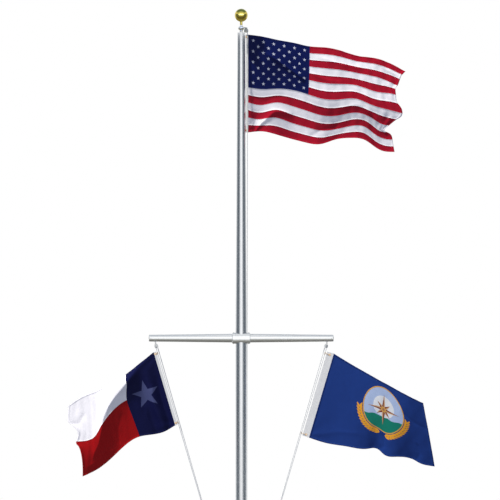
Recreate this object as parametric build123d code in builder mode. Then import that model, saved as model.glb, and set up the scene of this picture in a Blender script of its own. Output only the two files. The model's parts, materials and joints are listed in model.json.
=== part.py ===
from build123d import *
import math
import os

# Nautical flagpole: a tapered aluminium mast with a yardarm, a gold ball, three
# roped flags and their cleats. All sizes in millimetres, +Z up, the origin at
# the centre of the mast's butt at ground level, the yardarm along X.

# Mast
mast_height = 7620.0
butt_diameter = 127.0
top_diameter = 84.0
mast_wall = 4.0
butt_plate_thickness = 8.0
taper_start = 4300.0

# Flash collar on the ground
flash_diameter = 330.0
flash_height = 95.0
flash_sheet = 2.5
flash_clearance = 0.3
flash_lip_height = 8.0
flash_neck_length = 18.0
flash_lip_slope = 0.16

# Yardarm and its cross collar
yard_height = 4227.0
yard_half_length = 1026.0
yard_root_diameter = 98.0
yard_tip_diameter = 76.0
yard_wall = 3.0
yard_root_reach = 70.0
yard_cap_dome = 7.0
yard_cap_flange = 5.0
yard_cap_spigot = 25.0
yard_cap_rounding = 14.0
yard_cap_clearance = 0.6
collar_diameter = 146.0
collar_height = 122.0
collar_front_depth = 78.0
collar_front_rounding = 54.0
socket_diameter = 116.0
socket_reach = 100.0
collar_blend = 9.0
collar_rim_chamfer = 4.0
fit_clearance = 0.25

# Rope and sheaves
rope_diameter = 8.0
rope_gap = 0.3
sheave_groove_radius = 14.5
sheave_flange_radius = 21.0
sheave_width = 14.0
sheave_rim_land = 1.5
sheave_side_gap = 0.6
tangent_gap = 0.2
pin_diameter = 8.0
pin_gap = 0.1
pin_head_radius = 6.5
pin_head_thickness = 2.0
cheek_thickness = 3.0
cheek_margin = 2.0

# Truck and ball, with heights above the mast's top
ball_diameter = 145.0
ball_rise = 198.0
ball_stem_diameter = 28.0
ball_spindle_diameter = 12.0
ball_spindle_length = 30.0
spindle_socket_depth = 40.0
truck_disc_thickness = 5.0
truck_disc_chamfer = 1.5
truck_spigot_length = 60.0
truck_spigot_clearance = 0.3
truck_waist_diameter = 33.0
truck_waist_blend = 6.0
truck_bulge_diameter = 67.0
truck_bulge_rise = 35.0
truck_bulge_height = 37.0
truck_bulge_shoulder = 6.0
truck_bulge_fullness = 0.86
truck_neck_flare = 5.0
truck_neck_length = 16.0
truck_sheave_radius = 95.0
truck_sheave_rise = 32.0
arm_width = 18.0
arm_thickness = 12.0
arm_gap = 2.5

# Cleats
cleat_azimuth = 55.0
main_cleat_height = 1450.0
side_cleat_height = 1100.0
cleat_pad_width = 46.0
cleat_pad_height = 100.0
cleat_pad_thickness = 6.0
cleat_pad_rounding = 12.0
cleat_pad_sink = 8.0
cleat_stem_width = 22.0
cleat_stem_length = 60.0
cleat_horn_underside = 36.0
cleat_horn_thickness = 14.0
cleat_horn_rise = 6.0
cleat_length = 230.0
cleat_tip_width = 14.0
cleat_tip_bevel = 5.0
cleat_crown_dip = 3.0
cleat_crown_edge = 6.0
fall_stand_off = 20.0
fall_kink_above = 92.0
fall_kink_radius = 60.0
turn_rise = 80.0
turn_stand_off = 29.5
turn_half_width = 19.0
turn_radius = 11.0
turn_shoulder = 0.6
turn_gap = 1.0

# Eyes and blocks under the yardarm
eye_inset = 73.0
eye_reach = yard_half_length - eye_inset
eye_bar = 6.0
eye_ring_radius = 9.0
eye_shank_diameter = 9.5
eye_shoulder_diameter = 24.0
eye_shoulder_thickness = 3.0
eye_shoulder_gap = 0.3
eye_ring_gap = 1.0
eye_shank_length = 20.0
bail_bar = 5.0
link_gap = 0.3
block_drop = 33.0
block_turn = 60.0
bail_leg_end = 11.5

# Flags: hoist, heading strip, grommets and snaps
cloth_thickness = 2.5
heading_thickness = 3.0
grommet_inset = 25.0
grommet_hole_radius = 5.5
grommet_barrel_radius = 7.0
grommet_flange_radius = 11.0
grommet_flange_thickness = 0.9
snap_bar = 4.0
snap_rope_gap = 0.5
snap_half_height = 6.0
snap_barrel_radius = 3.0
snap_barrel_length = 4.6
link_bar = 3.6
link_rounding = 1.2
grommet_face_gap = 0.1
cloth_gap = 0.3
cloth_lead = 16.0
main_flag_drop = 42.0
side_flag_drop = 54.5
main_strip = (10.5, 28.0, 1092.0)
left_strip = (10.5, 28.0, 850.0)
right_strip = (18.0, 78.0, 975.0)

rope_radius = rope_diameter / 2
pitch_radius = sheave_groove_radius + rope_gap + rope_radius
mast_radius = butt_diameter / 2
fall_half_gap = cleat_stem_width / 2 + 2 * rope_gap + rope_radius
UP = Vector(0, 0, 1)
SIDES = ((-1, "left"), (1, "right"))

os.makedirs("parts", exist_ok=True)


def keep(part, name):
    """Label a finished piece and write it out."""
    part.label = name
    export_step(part, f"parts/{name}.step")


def yard_radius_at(reach):
    """Outer radius of the yardarm at a distance from the mast's axis."""
    share = (reach - yard_root_reach) / (yard_half_length - yard_root_reach)
    return (yard_root_diameter + share * (yard_tip_diameter - yard_root_diameter)) / 2


# Mast shaft, straight to the yardarm and tapered above it
with BuildPart() as mast_shaft:
    with BuildSketch(Plane.XZ):
        Polygon(
            (mast_radius, 0),
            (mast_radius, taper_start),
            (top_diameter / 2, mast_height),
            (top_diameter / 2 - mast_wall, mast_height),
            (mast_radius - mast_wall, taper_start),
            (mast_radius - mast_wall, 0),
            align=None,
        )
    revolve(axis=Axis.Z)
keep(mast_shaft.part, "mast_shaft")

# Plate that closes the butt and carries the mast on its footing
with BuildPart() as butt_plate:
    with BuildSketch(Plane.XY):
        Circle(mast_radius - mast_wall - fit_clearance)
    extrude(amount=butt_plate_thickness)
keep(butt_plate.part, "mast_butt_plate")

# Spun flash collar, a bell-shaped sheet on the ground round the mast
flash_bore = mast_radius + flash_clearance
with BuildPart() as flash_collar:
    with BuildSketch(Plane.XZ):
        with BuildLine():
            rim = flash_diameter / 2
            neck_bottom = flash_height - flash_neck_length
            lip = (rim, flash_lip_height)
            inner_lip = (rim - flash_sheet, flash_lip_height - flash_sheet)
            neck = (flash_bore + flash_sheet, neck_bottom)
            inner_neck = (flash_bore, neck_bottom)
            slope = (-1, flash_lip_slope)
            Polyline(inner_lip, (rim - flash_sheet, 0), (rim, 0), lip)
            TangentArc(lip, neck, tangent=slope)
            Polyline(neck, (neck[0], flash_height), (flash_bore, flash_height), inner_neck)
            TangentArc(inner_lip, inner_neck, tangent=slope)
        make_face()
    revolve(axis=Axis.Z)
keep(flash_collar.part, "flash_collar")

# Cross collar: one casting round the mast with a socket for each half of the yardarm. Its
# deep rounded front carries the yardarm's line across the mast, and its back is a half sleeve
with BuildPart() as yard_collar:
    with BuildSketch(Plane.XY.offset(yard_height - collar_height / 2)):
        Circle(collar_diameter / 2)
        Rectangle(
            collar_diameter,
            collar_diameter,
            align=(Align.CENTER, Align.MAX),
            mode=Mode.SUBTRACT,
        )
    extrude(amount=collar_height)
    with BuildSketch(Plane.YZ.offset(-socket_reach)) as profile:
        with Locations((0, yard_height)):
            Rectangle(collar_front_depth, collar_height, align=(Align.MAX, Align.CENTER))
        fillet(profile.vertices().group_by(Axis.X)[0], collar_front_rounding)
        with Locations((0, yard_height)):
            Circle(socket_diameter / 2)
    extrude(amount=2 * socket_reach)
    fillet(yard_collar.edges().filter_by(GeomType.BSPLINE), collar_blend)
    ends = yard_collar.faces().sort_by(Axis.X)
    arcs = yard_collar.edges().filter_by(GeomType.CIRCLE).group_by(Axis.Z)
    chamfer([*ends[0].edges(), *ends[-1].edges(), *arcs[0], *arcs[-1]], collar_rim_chamfer)
    with BuildSketch(Plane.XY.offset(yard_height - collar_height)):
        Circle(mast_radius + fit_clearance)
    extrude(amount=2 * collar_height, mode=Mode.SUBTRACT)
    with BuildSketch(Plane.YZ.offset(-2 * socket_reach)):
        with Locations((0, yard_height)):
            Circle(yard_root_diameter / 2 + fit_clearance)
    extrude(amount=4 * socket_reach, mode=Mode.SUBTRACT)
keep(yard_collar.part, "yard_collar")


def yard_half(side):
    """One tapered tube of the yardarm, from its socket to its tip."""
    root = Vector(side * yard_root_reach, yard_height)
    tip_reach = yard_half_length - yard_cap_dome - yard_cap_flange
    tip = Vector(side * tip_reach, yard_height)
    root_radius = yard_root_diameter / 2
    tip_radius = yard_radius_at(tip_reach)
    with BuildPart() as tube:
        with BuildSketch(Plane.XZ):
            Polygon(
                (root.X, yard_height + root_radius),
                (tip.X, yard_height + tip_radius),
                (tip.X, yard_height + tip_radius - yard_wall),
                (root.X, yard_height + root_radius - yard_wall),
                align=None,
            )
        revolve(axis=Axis((0, 0, yard_height), (1, 0, 0)))
        with BuildSketch(Plane.XY.offset(yard_height - yard_root_diameter)):
            with Locations((side * eye_reach, 0)):
                Circle(eye_shank_diameter / 2 + fit_clearance)
        extrude(amount=yard_root_diameter, mode=Mode.SUBTRACT)
    return tube.part


def yard_cap(side):
    """Domed plug in the yardarm's open end."""
    inner = yard_half_length - yard_cap_dome - yard_cap_flange
    radius = yard_radius_at(inner)
    plug = radius - yard_wall - yard_cap_clearance
    with BuildPart() as cap:
        with BuildSketch(Plane.XZ):
            with BuildLine():
                spigot_end = side * (inner - yard_cap_spigot)
                shoulder = side * inner
                crown = side * yard_half_length
                rim = side * (inner + yard_cap_flange)
                mid = yard_height
                face = mid + radius - yard_cap_rounding
                TangentArc((rim, mid + radius), (crown, face), tangent=(side, 0))
                Polyline(
                    (crown, face),
                    (crown, mid),
                    (spigot_end, mid),
                    (spigot_end, mid + plug),
                    (shoulder, mid + plug),
                    (shoulder, mid + radius),
                    (rim, mid + radius),
                )
            make_face()
        revolve(axis=Axis((0, 0, yard_height), (1, 0, 0)))
    return cap.part


for side, word in SIDES:
    keep(yard_half(side), f"yardarm_{word}")
    keep(yard_cap(side), f"yard_cap_{word}")


def sheave(plane):
    """Grooved wheel centred on a plane's origin, its axle along the plane's normal."""
    half = sheave_width / 2
    groove = rope_radius + rope_gap
    mouth = half - sheave_rim_land
    beyond = sheave_flange_radius + rope_radius
    with BuildPart() as wheel:
        profile = Plane(origin=plane.origin, x_dir=plane.x_dir, z_dir=-plane.y_dir)
        with BuildSketch(profile):
            with Locations((sheave_flange_radius / 2, 0)):
                Rectangle(sheave_flange_radius, sheave_width)
            with Locations((pitch_radius, 0)):
                Circle(groove, mode=Mode.SUBTRACT)
            with BuildLine():
                Polyline(
                    (pitch_radius, -groove),
                    (sheave_flange_radius, -mouth),
                    (beyond, -mouth),
                    (beyond, mouth),
                    (sheave_flange_radius, mouth),
                    (pitch_radius, groove),
                    close=True,
                )
            make_face(mode=Mode.SUBTRACT)
            with Locations((0, 0)):
                Rectangle(pin_diameter + 2 * pin_gap, 2 * sheave_width, mode=Mode.SUBTRACT)
        revolve(axis=Axis(plane.origin, plane.z_dir))
    return wheel.part


def axle(plane, half_length):
    """Headed pin through both cheeks, centred on a plane's origin."""
    with BuildPart() as pin:
        with BuildSketch(plane.offset(-half_length)):
            Circle(pin_diameter / 2)
        extrude(amount=2 * half_length)
        for end in (-1, 1):
            start = half_length if end > 0 else -half_length - pin_head_thickness
            with BuildSketch(plane.offset(start)):
                Circle(pin_head_radius)
            extrude(amount=pin_head_thickness)
    return pin.part


cheek_inner = sheave_width / 2 + sheave_side_gap
cheek_outer = cheek_inner + cheek_thickness
cheek_radius = sheave_flange_radius + cheek_margin

# Truck: a plug in the mast top, a waist, a bulge and the arm that carries the sheave
azimuth = math.radians(cleat_azimuth)
radial = Vector(math.cos(azimuth), math.sin(azimuth), 0)
tangential = Vector(-math.sin(azimuth), math.cos(azimuth), 0)
truck_sheave_height = mast_height + truck_sheave_rise
truck_bulge_bottom = mast_height + truck_bulge_rise
truck_bulge_top = truck_bulge_bottom + truck_bulge_height
truck_neck_top = truck_bulge_top + truck_neck_length
truck_sheave_centre = radial * truck_sheave_radius + UP * truck_sheave_height
truck_plane = Plane(origin=truck_sheave_centre, x_dir=tangential, z_dir=radial)
arm_bottom = truck_sheave_height + pitch_radius + rope_radius + arm_gap
arm_end = truck_sheave_radius + cheek_outer
with BuildPart() as truck_body:
    with BuildSketch(Plane.XZ):
        with BuildLine():
            spigot_radius = top_diameter / 2 - mast_wall - truck_spigot_clearance
            disc_radius = top_diameter / 2
            disc_top = mast_height + truck_disc_thickness
            bulge = truck_bulge_diameter / 2
            waist = truck_waist_diameter / 2
            stem = ball_stem_diameter / 2
            blend = truck_waist_blend
            blend_middle = blend * (1 - math.sqrt(0.5))
            bulge_middle = (truck_bulge_bottom + truck_bulge_top) / 2
            shoulder = bulge * truck_bulge_fullness
            Polyline(
                (0, mast_height - truck_spigot_length),
                (spigot_radius, mast_height - truck_spigot_length),
                (spigot_radius, mast_height),
                (disc_radius, mast_height),
                (disc_radius, disc_top - truck_disc_chamfer),
                (disc_radius - truck_disc_chamfer, disc_top),
                (waist + blend, disc_top),
            )
            ThreePointArc(
                (waist + blend, disc_top),
                (waist + blend_middle, disc_top + blend_middle),
                (waist, disc_top + blend),
            )
            Line((waist, disc_top + blend), (waist, truck_bulge_bottom))
            ThreePointArc(
                (waist, truck_bulge_bottom),
                (shoulder, truck_bulge_bottom + truck_bulge_shoulder),
                (bulge, bulge_middle),
            )
            ThreePointArc(
                (bulge, bulge_middle),
                (shoulder, truck_bulge_top - truck_bulge_shoulder),
                (stem + truck_neck_flare, truck_bulge_top),
            )
            Polyline(
                (stem + truck_neck_flare, truck_bulge_top),
                (stem, truck_neck_top),
                (0, truck_neck_top),
                (0, mast_height - truck_spigot_length),
            )
        make_face()
    revolve(axis=Axis.Z)
    arm_plane = Plane(origin=UP * (arm_bottom + arm_thickness / 2), x_dir=tangential, z_dir=radial)
    with BuildSketch(arm_plane.offset(stem)):
        Rectangle(arm_width, arm_thickness)
    extrude(amount=arm_end - stem)
    for face in (cheek_inner, -cheek_outer):
        with BuildSketch(truck_plane.offset(face)):
            Circle(cheek_radius)
            with Locations((0, (arm_bottom - truck_sheave_height) / 2)):
                Rectangle(arm_width, arm_bottom - truck_sheave_height + arm_thickness)
            Circle(pin_diameter / 2 + pin_gap, mode=Mode.SUBTRACT)
        extrude(amount=cheek_thickness)
    with BuildSketch(Plane.XY.offset(truck_neck_top)):
        Circle(ball_spindle_diameter / 2 + fit_clearance)
    extrude(amount=-spindle_socket_depth, mode=Mode.SUBTRACT)
keep(truck_body.part, "truck_body")
keep(sheave(truck_plane), "truck_sheave")
keep(axle(truck_plane, cheek_outer), "truck_sheave_pin")

# Gold ball on its stem, with the spindle that screws into the truck
with BuildPart() as ball_finial:
    ball_radius = ball_diameter / 2
    ball_height = mast_height + ball_rise
    spindle_end = truck_neck_top - ball_spindle_length
    stem_meets = ball_height - math.sqrt(ball_radius**2 - stem**2)
    with BuildSketch(Plane.XZ):
        with BuildLine():
            Polyline(
                (0, ball_height + ball_radius),
                (0, spindle_end),
                (ball_spindle_diameter / 2, spindle_end),
                (ball_spindle_diameter / 2, truck_neck_top),
                (stem, truck_neck_top),
                (stem, stem_meets),
            )
            ThreePointArc(
                (stem, stem_meets),
                (ball_radius, ball_height),
                (0, ball_height + ball_radius),
            )
        make_face()
    revolve(axis=Axis.Z)
keep(ball_finial.part, "ball_finial")


def cleat(turn, height):
    """Two-horned cleat on the mast, at an azimuth in radians."""
    out = Vector(math.cos(turn), math.sin(turn), 0)
    across = Vector(-math.sin(turn), math.cos(turn), 0)
    face = Plane(origin=out * mast_radius + UP * height, x_dir=across, z_dir=out)
    side_view = Plane(origin=face.origin, x_dir=out, z_dir=-across)
    middle = cleat_stem_length / 2
    tip = cleat_length / 2
    under = cleat_horn_underside
    crown = under + cleat_horn_thickness
    bevel = cleat_tip_bevel
    rise = under + cleat_horn_rise
    dip = crown + cleat_crown_dip
    edge = tip - cleat_crown_edge
    with BuildPart() as horns:
        with BuildSketch(side_view.offset(-cleat_stem_width)):
            with BuildLine():
                Polyline(
                    (dip, -edge),
                    (crown, -tip),
                    (rise + bevel, -tip),
                    (rise, bevel - tip),
                    (under, -middle),
                    (under, middle),
                    (rise, tip - bevel),
                    (rise + bevel, tip),
                    (crown, tip),
                    (dip, edge),
                )
                ThreePointArc((dip, edge), (crown, 0), (dip, -edge))
            make_face()
        extrude(amount=2 * cleat_stem_width)
        with BuildSketch(face):
            with BuildLine():
                half = cleat_stem_width / 2
                end = cleat_tip_width / 2
                Line((-end, tip - end), (-half, 0))
                Line((-half, 0), (-end, end - tip))
                ThreePointArc((-end, end - tip), (0, -tip), (end, end - tip))
                Line((end, end - tip), (half, 0))
                Line((half, 0), (end, tip - end))
                ThreePointArc((end, tip - end), (0, tip), (-end, tip - end))
            make_face()
        extrude(amount=crown + cleat_horn_thickness, mode=Mode.INTERSECT)
        with BuildSketch(face.offset(cleat_pad_thickness / 2)):
            SlotOverall(cleat_stem_length, cleat_stem_width, rotation=90)
        extrude(amount=under)
        with BuildSketch(face.offset(-cleat_pad_sink)):
            RectangleRounded(cleat_pad_width, cleat_pad_height, cleat_pad_rounding)
        extrude(amount=cleat_pad_sink + cleat_pad_thickness)
        with BuildSketch(Plane.XY.offset(height - cleat_length)):
            Circle(mast_radius + fit_clearance)
        extrude(amount=2 * cleat_length, mode=Mode.SUBTRACT)
    return horns.part


def rope(points, radii):
    """Straight runs of rope joined by tangent arcs."""
    with BuildPart() as tube:
        with BuildLine() as route:
            FilletPolyline(*points, radius=radii)
        start = route.line
        with BuildSketch(Plane(origin=start @ 0, z_dir=start % 0)):
            Circle(rope_radius)
        sweep(path=route.line)
    return tube.part


def halyard(turn, height, sheave_plane):
    """Endless halyard: over its sheave, down both falls and round the cleat's stem."""
    out = Vector(math.cos(turn), math.sin(turn), 0)
    base = out * (mast_radius + fall_stand_off) + UP * height
    across = Vector(-math.sin(turn), math.cos(turn), 0)
    flip = 1 if sheave_plane.x_dir.dot(across) > 0 else -1
    first = base + across * flip * fall_half_gap
    second = base - across * flip * fall_half_gap
    over = sheave_plane.y_dir * pitch_radius
    reach = sheave_plane.x_dir * (pitch_radius + tangent_gap)
    split = UP * (fall_kink_above / 2)
    kink = UP * fall_kink_above
    bottom = UP * (cleat_stem_length - cleat_stem_width + 2 * fall_half_gap) / 2
    centre = sheave_plane.origin
    upper = rope(
        [
            first + split,
            first + kink,
            centre + reach + over,
            centre - reach + over,
            second + kink,
            second + split,
        ],
        [fall_kink_radius, pitch_radius, pitch_radius, fall_kink_radius],
    )
    lower = rope(
        [first + split, first - bottom, second - bottom, second + split],
        [fall_half_gap - rope_gap, fall_half_gap - rope_gap],
    )
    with BuildPart() as loop:
        add(upper)
        add(lower)
    return loop.part


def belayed_turns(turn, height):
    """Figure-of-eight turns of rope round the two horns of a cleat."""
    out = Vector(math.cos(turn), math.sin(turn), 0)
    across = Vector(-math.sin(turn), math.cos(turn), 0)
    base = out * mast_radius + UP * height
    crown = cleat_horn_underside + cleat_horn_thickness
    near = crown + rope_radius + turn_gap
    far = near + rope_diameter + turn_gap

    def spot(a, v, r):
        return base + across * a + UP * v + out * r

    w = turn_half_width
    wide = w + turn_gap
    rise = turn_rise
    shoulder = turn_rise * turn_shoulder
    first = rope(
        [
            spot(0, rise, turn_stand_off),
            spot(w, rise, turn_stand_off),
            spot(wide, shoulder, near),
            spot(-wide, -shoulder, near),
            spot(-w, -rise, turn_stand_off),
            spot(0, -rise, turn_stand_off),
        ],
        [turn_radius, turn_radius, turn_radius, turn_radius],
    )
    second = rope(
        [
            spot(0, -rise, turn_stand_off),
            spot(w, -rise, turn_stand_off),
            spot(wide, -shoulder, far),
            spot(-wide, shoulder, far),
            spot(-w, rise, turn_stand_off),
            spot(0, rise, turn_stand_off),
        ],
        [turn_radius, turn_radius, turn_radius, turn_radius],
    )
    with BuildPart() as turns:
        add(first)
        add(second)
    return turns.part


def fall_line(side):
    """Up direction and outward normal of a side halyard, from cleat to eye."""
    top = Vector(side * eye_reach, 0, eye_bottom)
    foot = Vector(side * (mast_radius + fall_stand_off), 0, side_cleat_height + fall_kink_above)
    up = (top - foot).normalized()
    outward = Vector(side * up.Z, 0, -side * up.X)
    return top, up, outward


# Eyes under the yardarm: shoulder, shank and ring
yard_underside = yard_height - yard_radius_at(eye_reach)
eye_centre_height = yard_underside - eye_shoulder_thickness - eye_ring_radius - eye_ring_gap
eye_bottom = eye_centre_height - eye_ring_radius + eye_bar / 2

block_frames = {}
for side, word in SIDES:
    hook, up, outward = fall_line(side)
    swing = math.radians(block_turn)
    width_dir = outward * math.cos(swing) + Vector(0, -1, 0) * math.sin(swing)
    normal = width_dir.cross(up).normalized()
    hook_plane = Plane(origin=hook, x_dir=width_dir, z_dir=normal)
    sheave_plane = Plane(origin=hook - up * block_drop, x_dir=width_dir, z_dir=normal)
    block_frames[side] = (hook_plane, sheave_plane, outward)

    flat_width = Vector(width_dir.X, width_dir.Y, 0).normalized()
    ring_plane = Plane(
        origin=(side * eye_reach, 0, eye_centre_height),
        x_dir=flat_width,
        z_dir=flat_width.cross(UP),
    )
    with BuildPart() as eye:
        with BuildSketch(Plane.XY.offset(yard_underside - eye_shoulder_thickness)):
            with Locations((side * eye_reach, 0)):
                Circle(eye_shoulder_diameter / 2)
        extrude(amount=eye_shoulder_thickness - eye_shoulder_gap)
        with BuildSketch(Plane.XY.offset(yard_underside - eye_shoulder_thickness)):
            with Locations((side * eye_reach, 0)):
                Circle(eye_shank_diameter / 2)
        extrude(amount=eye_shoulder_thickness + eye_shank_length)
        with BuildSketch(Plane(origin=ring_plane.origin, x_dir=flat_width, z_dir=-UP)):
            with Locations((eye_ring_radius, 0)):
                Circle(eye_bar / 2)
        revolve(axis=Axis(ring_plane.origin, ring_plane.z_dir))
    keep(eye.part, f"yard_eye_{word}")

    bail_arch = cheek_inner + cheek_thickness / 2
    arch_centre = link_gap + bail_bar / 2 - bail_arch
    with BuildPart() as block:
        for face in (cheek_inner, -cheek_outer):
            with BuildSketch(hook_plane.offset(face)):
                with Locations((0, -block_drop)):
                    Circle(cheek_radius)
                with Locations((0, -bail_leg_end)):
                    Circle(bail_bar)
                make_hull()
                with Locations((0, -block_drop)):
                    Circle(pin_diameter / 2 + pin_gap, mode=Mode.SUBTRACT)
            extrude(amount=cheek_thickness)
        bail_plane = Plane(origin=hook, x_dir=normal, z_dir=-width_dir)
        with BuildLine(bail_plane) as bail:
            Line((-bail_arch, -bail_leg_end), (-bail_arch, arch_centre))
            ThreePointArc(
                (-bail_arch, arch_centre),
                (0, arch_centre + bail_arch),
                (bail_arch, arch_centre),
            )
            Line((bail_arch, arch_centre), (bail_arch, -bail_leg_end))
        with BuildSketch(Plane(origin=bail.line @ 0, z_dir=bail.line % 0)):
            Circle(bail_bar / 2)
        sweep(path=bail.line)
    keep(block.part, f"yard_block_{word}")
    keep(sheave(sheave_plane), f"yard_sheave_{word}")
    keep(axle(sheave_plane, cheek_outer), f"yard_sheave_pin_{word}")

# Cleats, halyards and the turns that belay them
main_turn = azimuth
keep(cleat(main_turn, main_cleat_height), "main_cleat")
keep(halyard(main_turn, main_cleat_height, truck_plane), "main_halyard")
keep(belayed_turns(main_turn, main_cleat_height), "main_halyard_turns")
for side, word in SIDES:
    turn = 0.0 if side > 0 else math.pi
    keep(cleat(turn, side_cleat_height), f"{word}_cleat")
    keep(halyard(turn, side_cleat_height, block_frames[side][1]), f"{word}_halyard")
    keep(belayed_turns(turn, side_cleat_height), f"{word}_halyard_turns")


def snap(centre, along, normal, down, reach):
    """Ring round the fall and a link through the grommet, both square to the fall."""
    ring = rope_radius + snap_rope_gap + snap_bar / 2
    bend = snap_half_height
    half_link = link_bar / 2
    grip = heading_thickness / 2 + grommet_face_gap + grommet_flange_thickness
    near = ring + half_link
    seat = reach - math.sqrt(grommet_hole_radius**2 - half_link**2) + cloth_gap
    far = seat + bend - math.sqrt((bend - half_link) ** 2 - grip**2)
    flat = Plane(origin=centre, x_dir=along, z_dir=down)
    with BuildPart() as clip:
        with BuildSketch(flat.offset(-half_link)):
            with Locations(((near + far) / 2, 0)):
                SlotOverall(far - near + link_bar, 2 * bend + link_bar)
                SlotOverall(far - near - link_bar, 2 * bend - link_bar, mode=Mode.SUBTRACT)
        extrude(amount=link_bar)
        fillet(clip.edges(), link_rounding)
        with BuildSketch(Plane(origin=centre, x_dir=along, z_dir=flat.y_dir)):
            with Locations((ring, 0)):
                Circle(snap_bar / 2)
        revolve(axis=Axis(centre, down))
        with BuildSketch(Plane(origin=centre + along * (ring - 1), z_dir=along)):
            Circle(snap_barrel_radius)
        extrude(amount=snap_barrel_length)
    return clip.part


def flag(word, top, down, along, strip, stations):
    """A flag on its fall: heading strip, grommets, snaps and waving cloth.

    top is the fall's point level with the flag's upper edge, down runs along the
    fall and along points at the fly. strip holds the strip's distance from the
    fall, its width and its hoist. A station is one line from the upper to the
    lower edge: how far out and down each end lies from top, and its depth.
    """
    start, width, hoist = strip
    normal = along.cross(down).normalized()
    grommet_at = start + width / 2
    board = Plane(origin=top, x_dir=along, z_dir=-normal)
    if board.y_dir.dot(down) > 0:
        board = Plane(origin=top, x_dir=along, z_dir=normal)
    with BuildPart() as heading:
        with BuildSketch(board.offset(-heading_thickness / 2)):
            with Locations((start + width / 2, -hoist / 2)):
                Rectangle(width, hoist)
            with Locations((grommet_at, -grommet_inset), (grommet_at, grommet_inset - hoist)):
                Circle(grommet_barrel_radius, mode=Mode.SUBTRACT)
        extrude(amount=heading_thickness)
    keep(heading.part, f"{word}_heading")

    with BuildPart() as grommets:
        grip = heading_thickness / 2 + grommet_face_gap
        for drop in (grommet_inset, hoist - grommet_inset):
            with BuildSketch(board.offset(-grip)):
                with Locations((grommet_at, -drop)):
                    Circle(grommet_barrel_radius - grommet_face_gap)
                    Circle(grommet_hole_radius, mode=Mode.SUBTRACT)
            extrude(amount=2 * grip)
            for level in (grip, -grip - grommet_flange_thickness):
                with BuildSketch(board.offset(level)):
                    with Locations((grommet_at, -drop)):
                        Circle(grommet_flange_radius)
                        Circle(grommet_hole_radius, mode=Mode.SUBTRACT)
                extrude(amount=grommet_flange_thickness)
    keep(grommets.part, f"{word}_grommets")

    for end, drop in (("top", grommet_inset), ("bottom", hoist - grommet_inset)):
        keep(snap(top + down * drop, along, normal, down, grommet_at), f"{word}_snap_{end}")

    seam = top + along * (start + width + cloth_gap)
    leave = along * cloth_lead
    lines = [(seam, seam + down * hoist), (seam + leave, seam + leave + down * hoist)]
    for out_top, drop_top, depth_top, out_low, drop_low, depth_low in stations:
        side = 1 if along.X > 0 else -1
        lines.append(
            (
                Vector(top.X + side * out_top, depth_top, top.Z - drop_top),
                Vector(top.X + side * out_low, depth_low, top.Z - drop_low),
            )
        )
    with BuildPart() as cloth:
        with BuildLine():
            upper = Spline(*[high for high, low in lines])
            lower = Spline(*[low for high, low in lines])
        thicken(Face.make_surface_from_curves(upper, lower), amount=cloth_thickness / 2, both=True)
    keep(cloth.part, f"{word}_cloth")


# The fall that carries each flag, from its sheave to the kink above the cleat
main_first = truck_sheave_centre + tangential * (pitch_radius + tangent_gap)
main_foot = (
    radial * (mast_radius + fall_stand_off)
    + tangential * fall_half_gap
    + UP * (main_cleat_height + fall_kink_above)
)
main_down = (main_foot - main_first).normalized()
main_along = (Vector(1, 0, 0) - main_down * main_down.X).normalized()

# Upper flag: out and drop of the top edge, its depth, then the same for the lower edge
main_stations = [
    (236, 24, 100, 192, 1077, 126),
    (481, 69, 86, 363, 1108, 84),
    (722, 122, 106, 559, 1161, 148),
    (949, 158, 90, 760, 1214, 88),
    (1139, 208, 112, 960, 1195, 150),
    (1306, 244, 96, 1150, 1155, 92),
    (1570, 294, 122, 1395, 1194, 156),
    (1794, 403, 108, 1669, 1308, 118),
]
main_top = main_first + main_down * (main_flag_drop / -main_down.Z)
flag("main_flag", main_top, main_down, main_along, main_strip, main_stations)

side_flags = {
    -1: (
        left_strip,
        [
            (169, 118, -46, -26, 920, -76),
            (325, 252, -12, 91, 909, -8),
            (492, 363, -56, 247, 981, -82),
            (659, 447, -14, 392, 1098, -6),
            (826, 523, -52, 592, 1288, -74),
            (966, 608, -24, 798, 1382, -36),
        ],
    ),
    1: (
        right_strip,
        [
            (259, 147, -62, 47, 1033, -34),
            (449, 247, -88, 281, 1066, -78),
            (638, 347, -164, 504, 1092, -66),
            (794, 431, -200, 682, 1161, -136),
            (939, 509, -292, 927, 1201, -110),
            (1051, 561, -336, 1194, 1272, -160),
        ],
    ),
}
fall_lines = {}
for side, word in SIDES:
    hook_plane, sheave_plane, outward = block_frames[side]
    fall_top = sheave_plane.origin + sheave_plane.x_dir * (pitch_radius + tangent_gap)
    fall_foot = Vector(
        side * (mast_radius + fall_stand_off),
        -fall_half_gap,
        side_cleat_height + fall_kink_above,
    )
    fall = (fall_foot - fall_top).normalized()
    fall_lines[side] = fall
    along = (outward - fall * outward.dot(fall)).normalized()
    strip, stations = side_flags[side]
    flag_top = fall_top + fall * ((fall_top.Z - sheave_plane.origin.Z + side_flag_drop) / -fall.Z)
    flag(f"{word}_flag", flag_top, fall, along, strip, stations)
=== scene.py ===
import json
import math

import bmesh
import bpy
import numpy as np
from mathutils import Matrix, Vector


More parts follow.
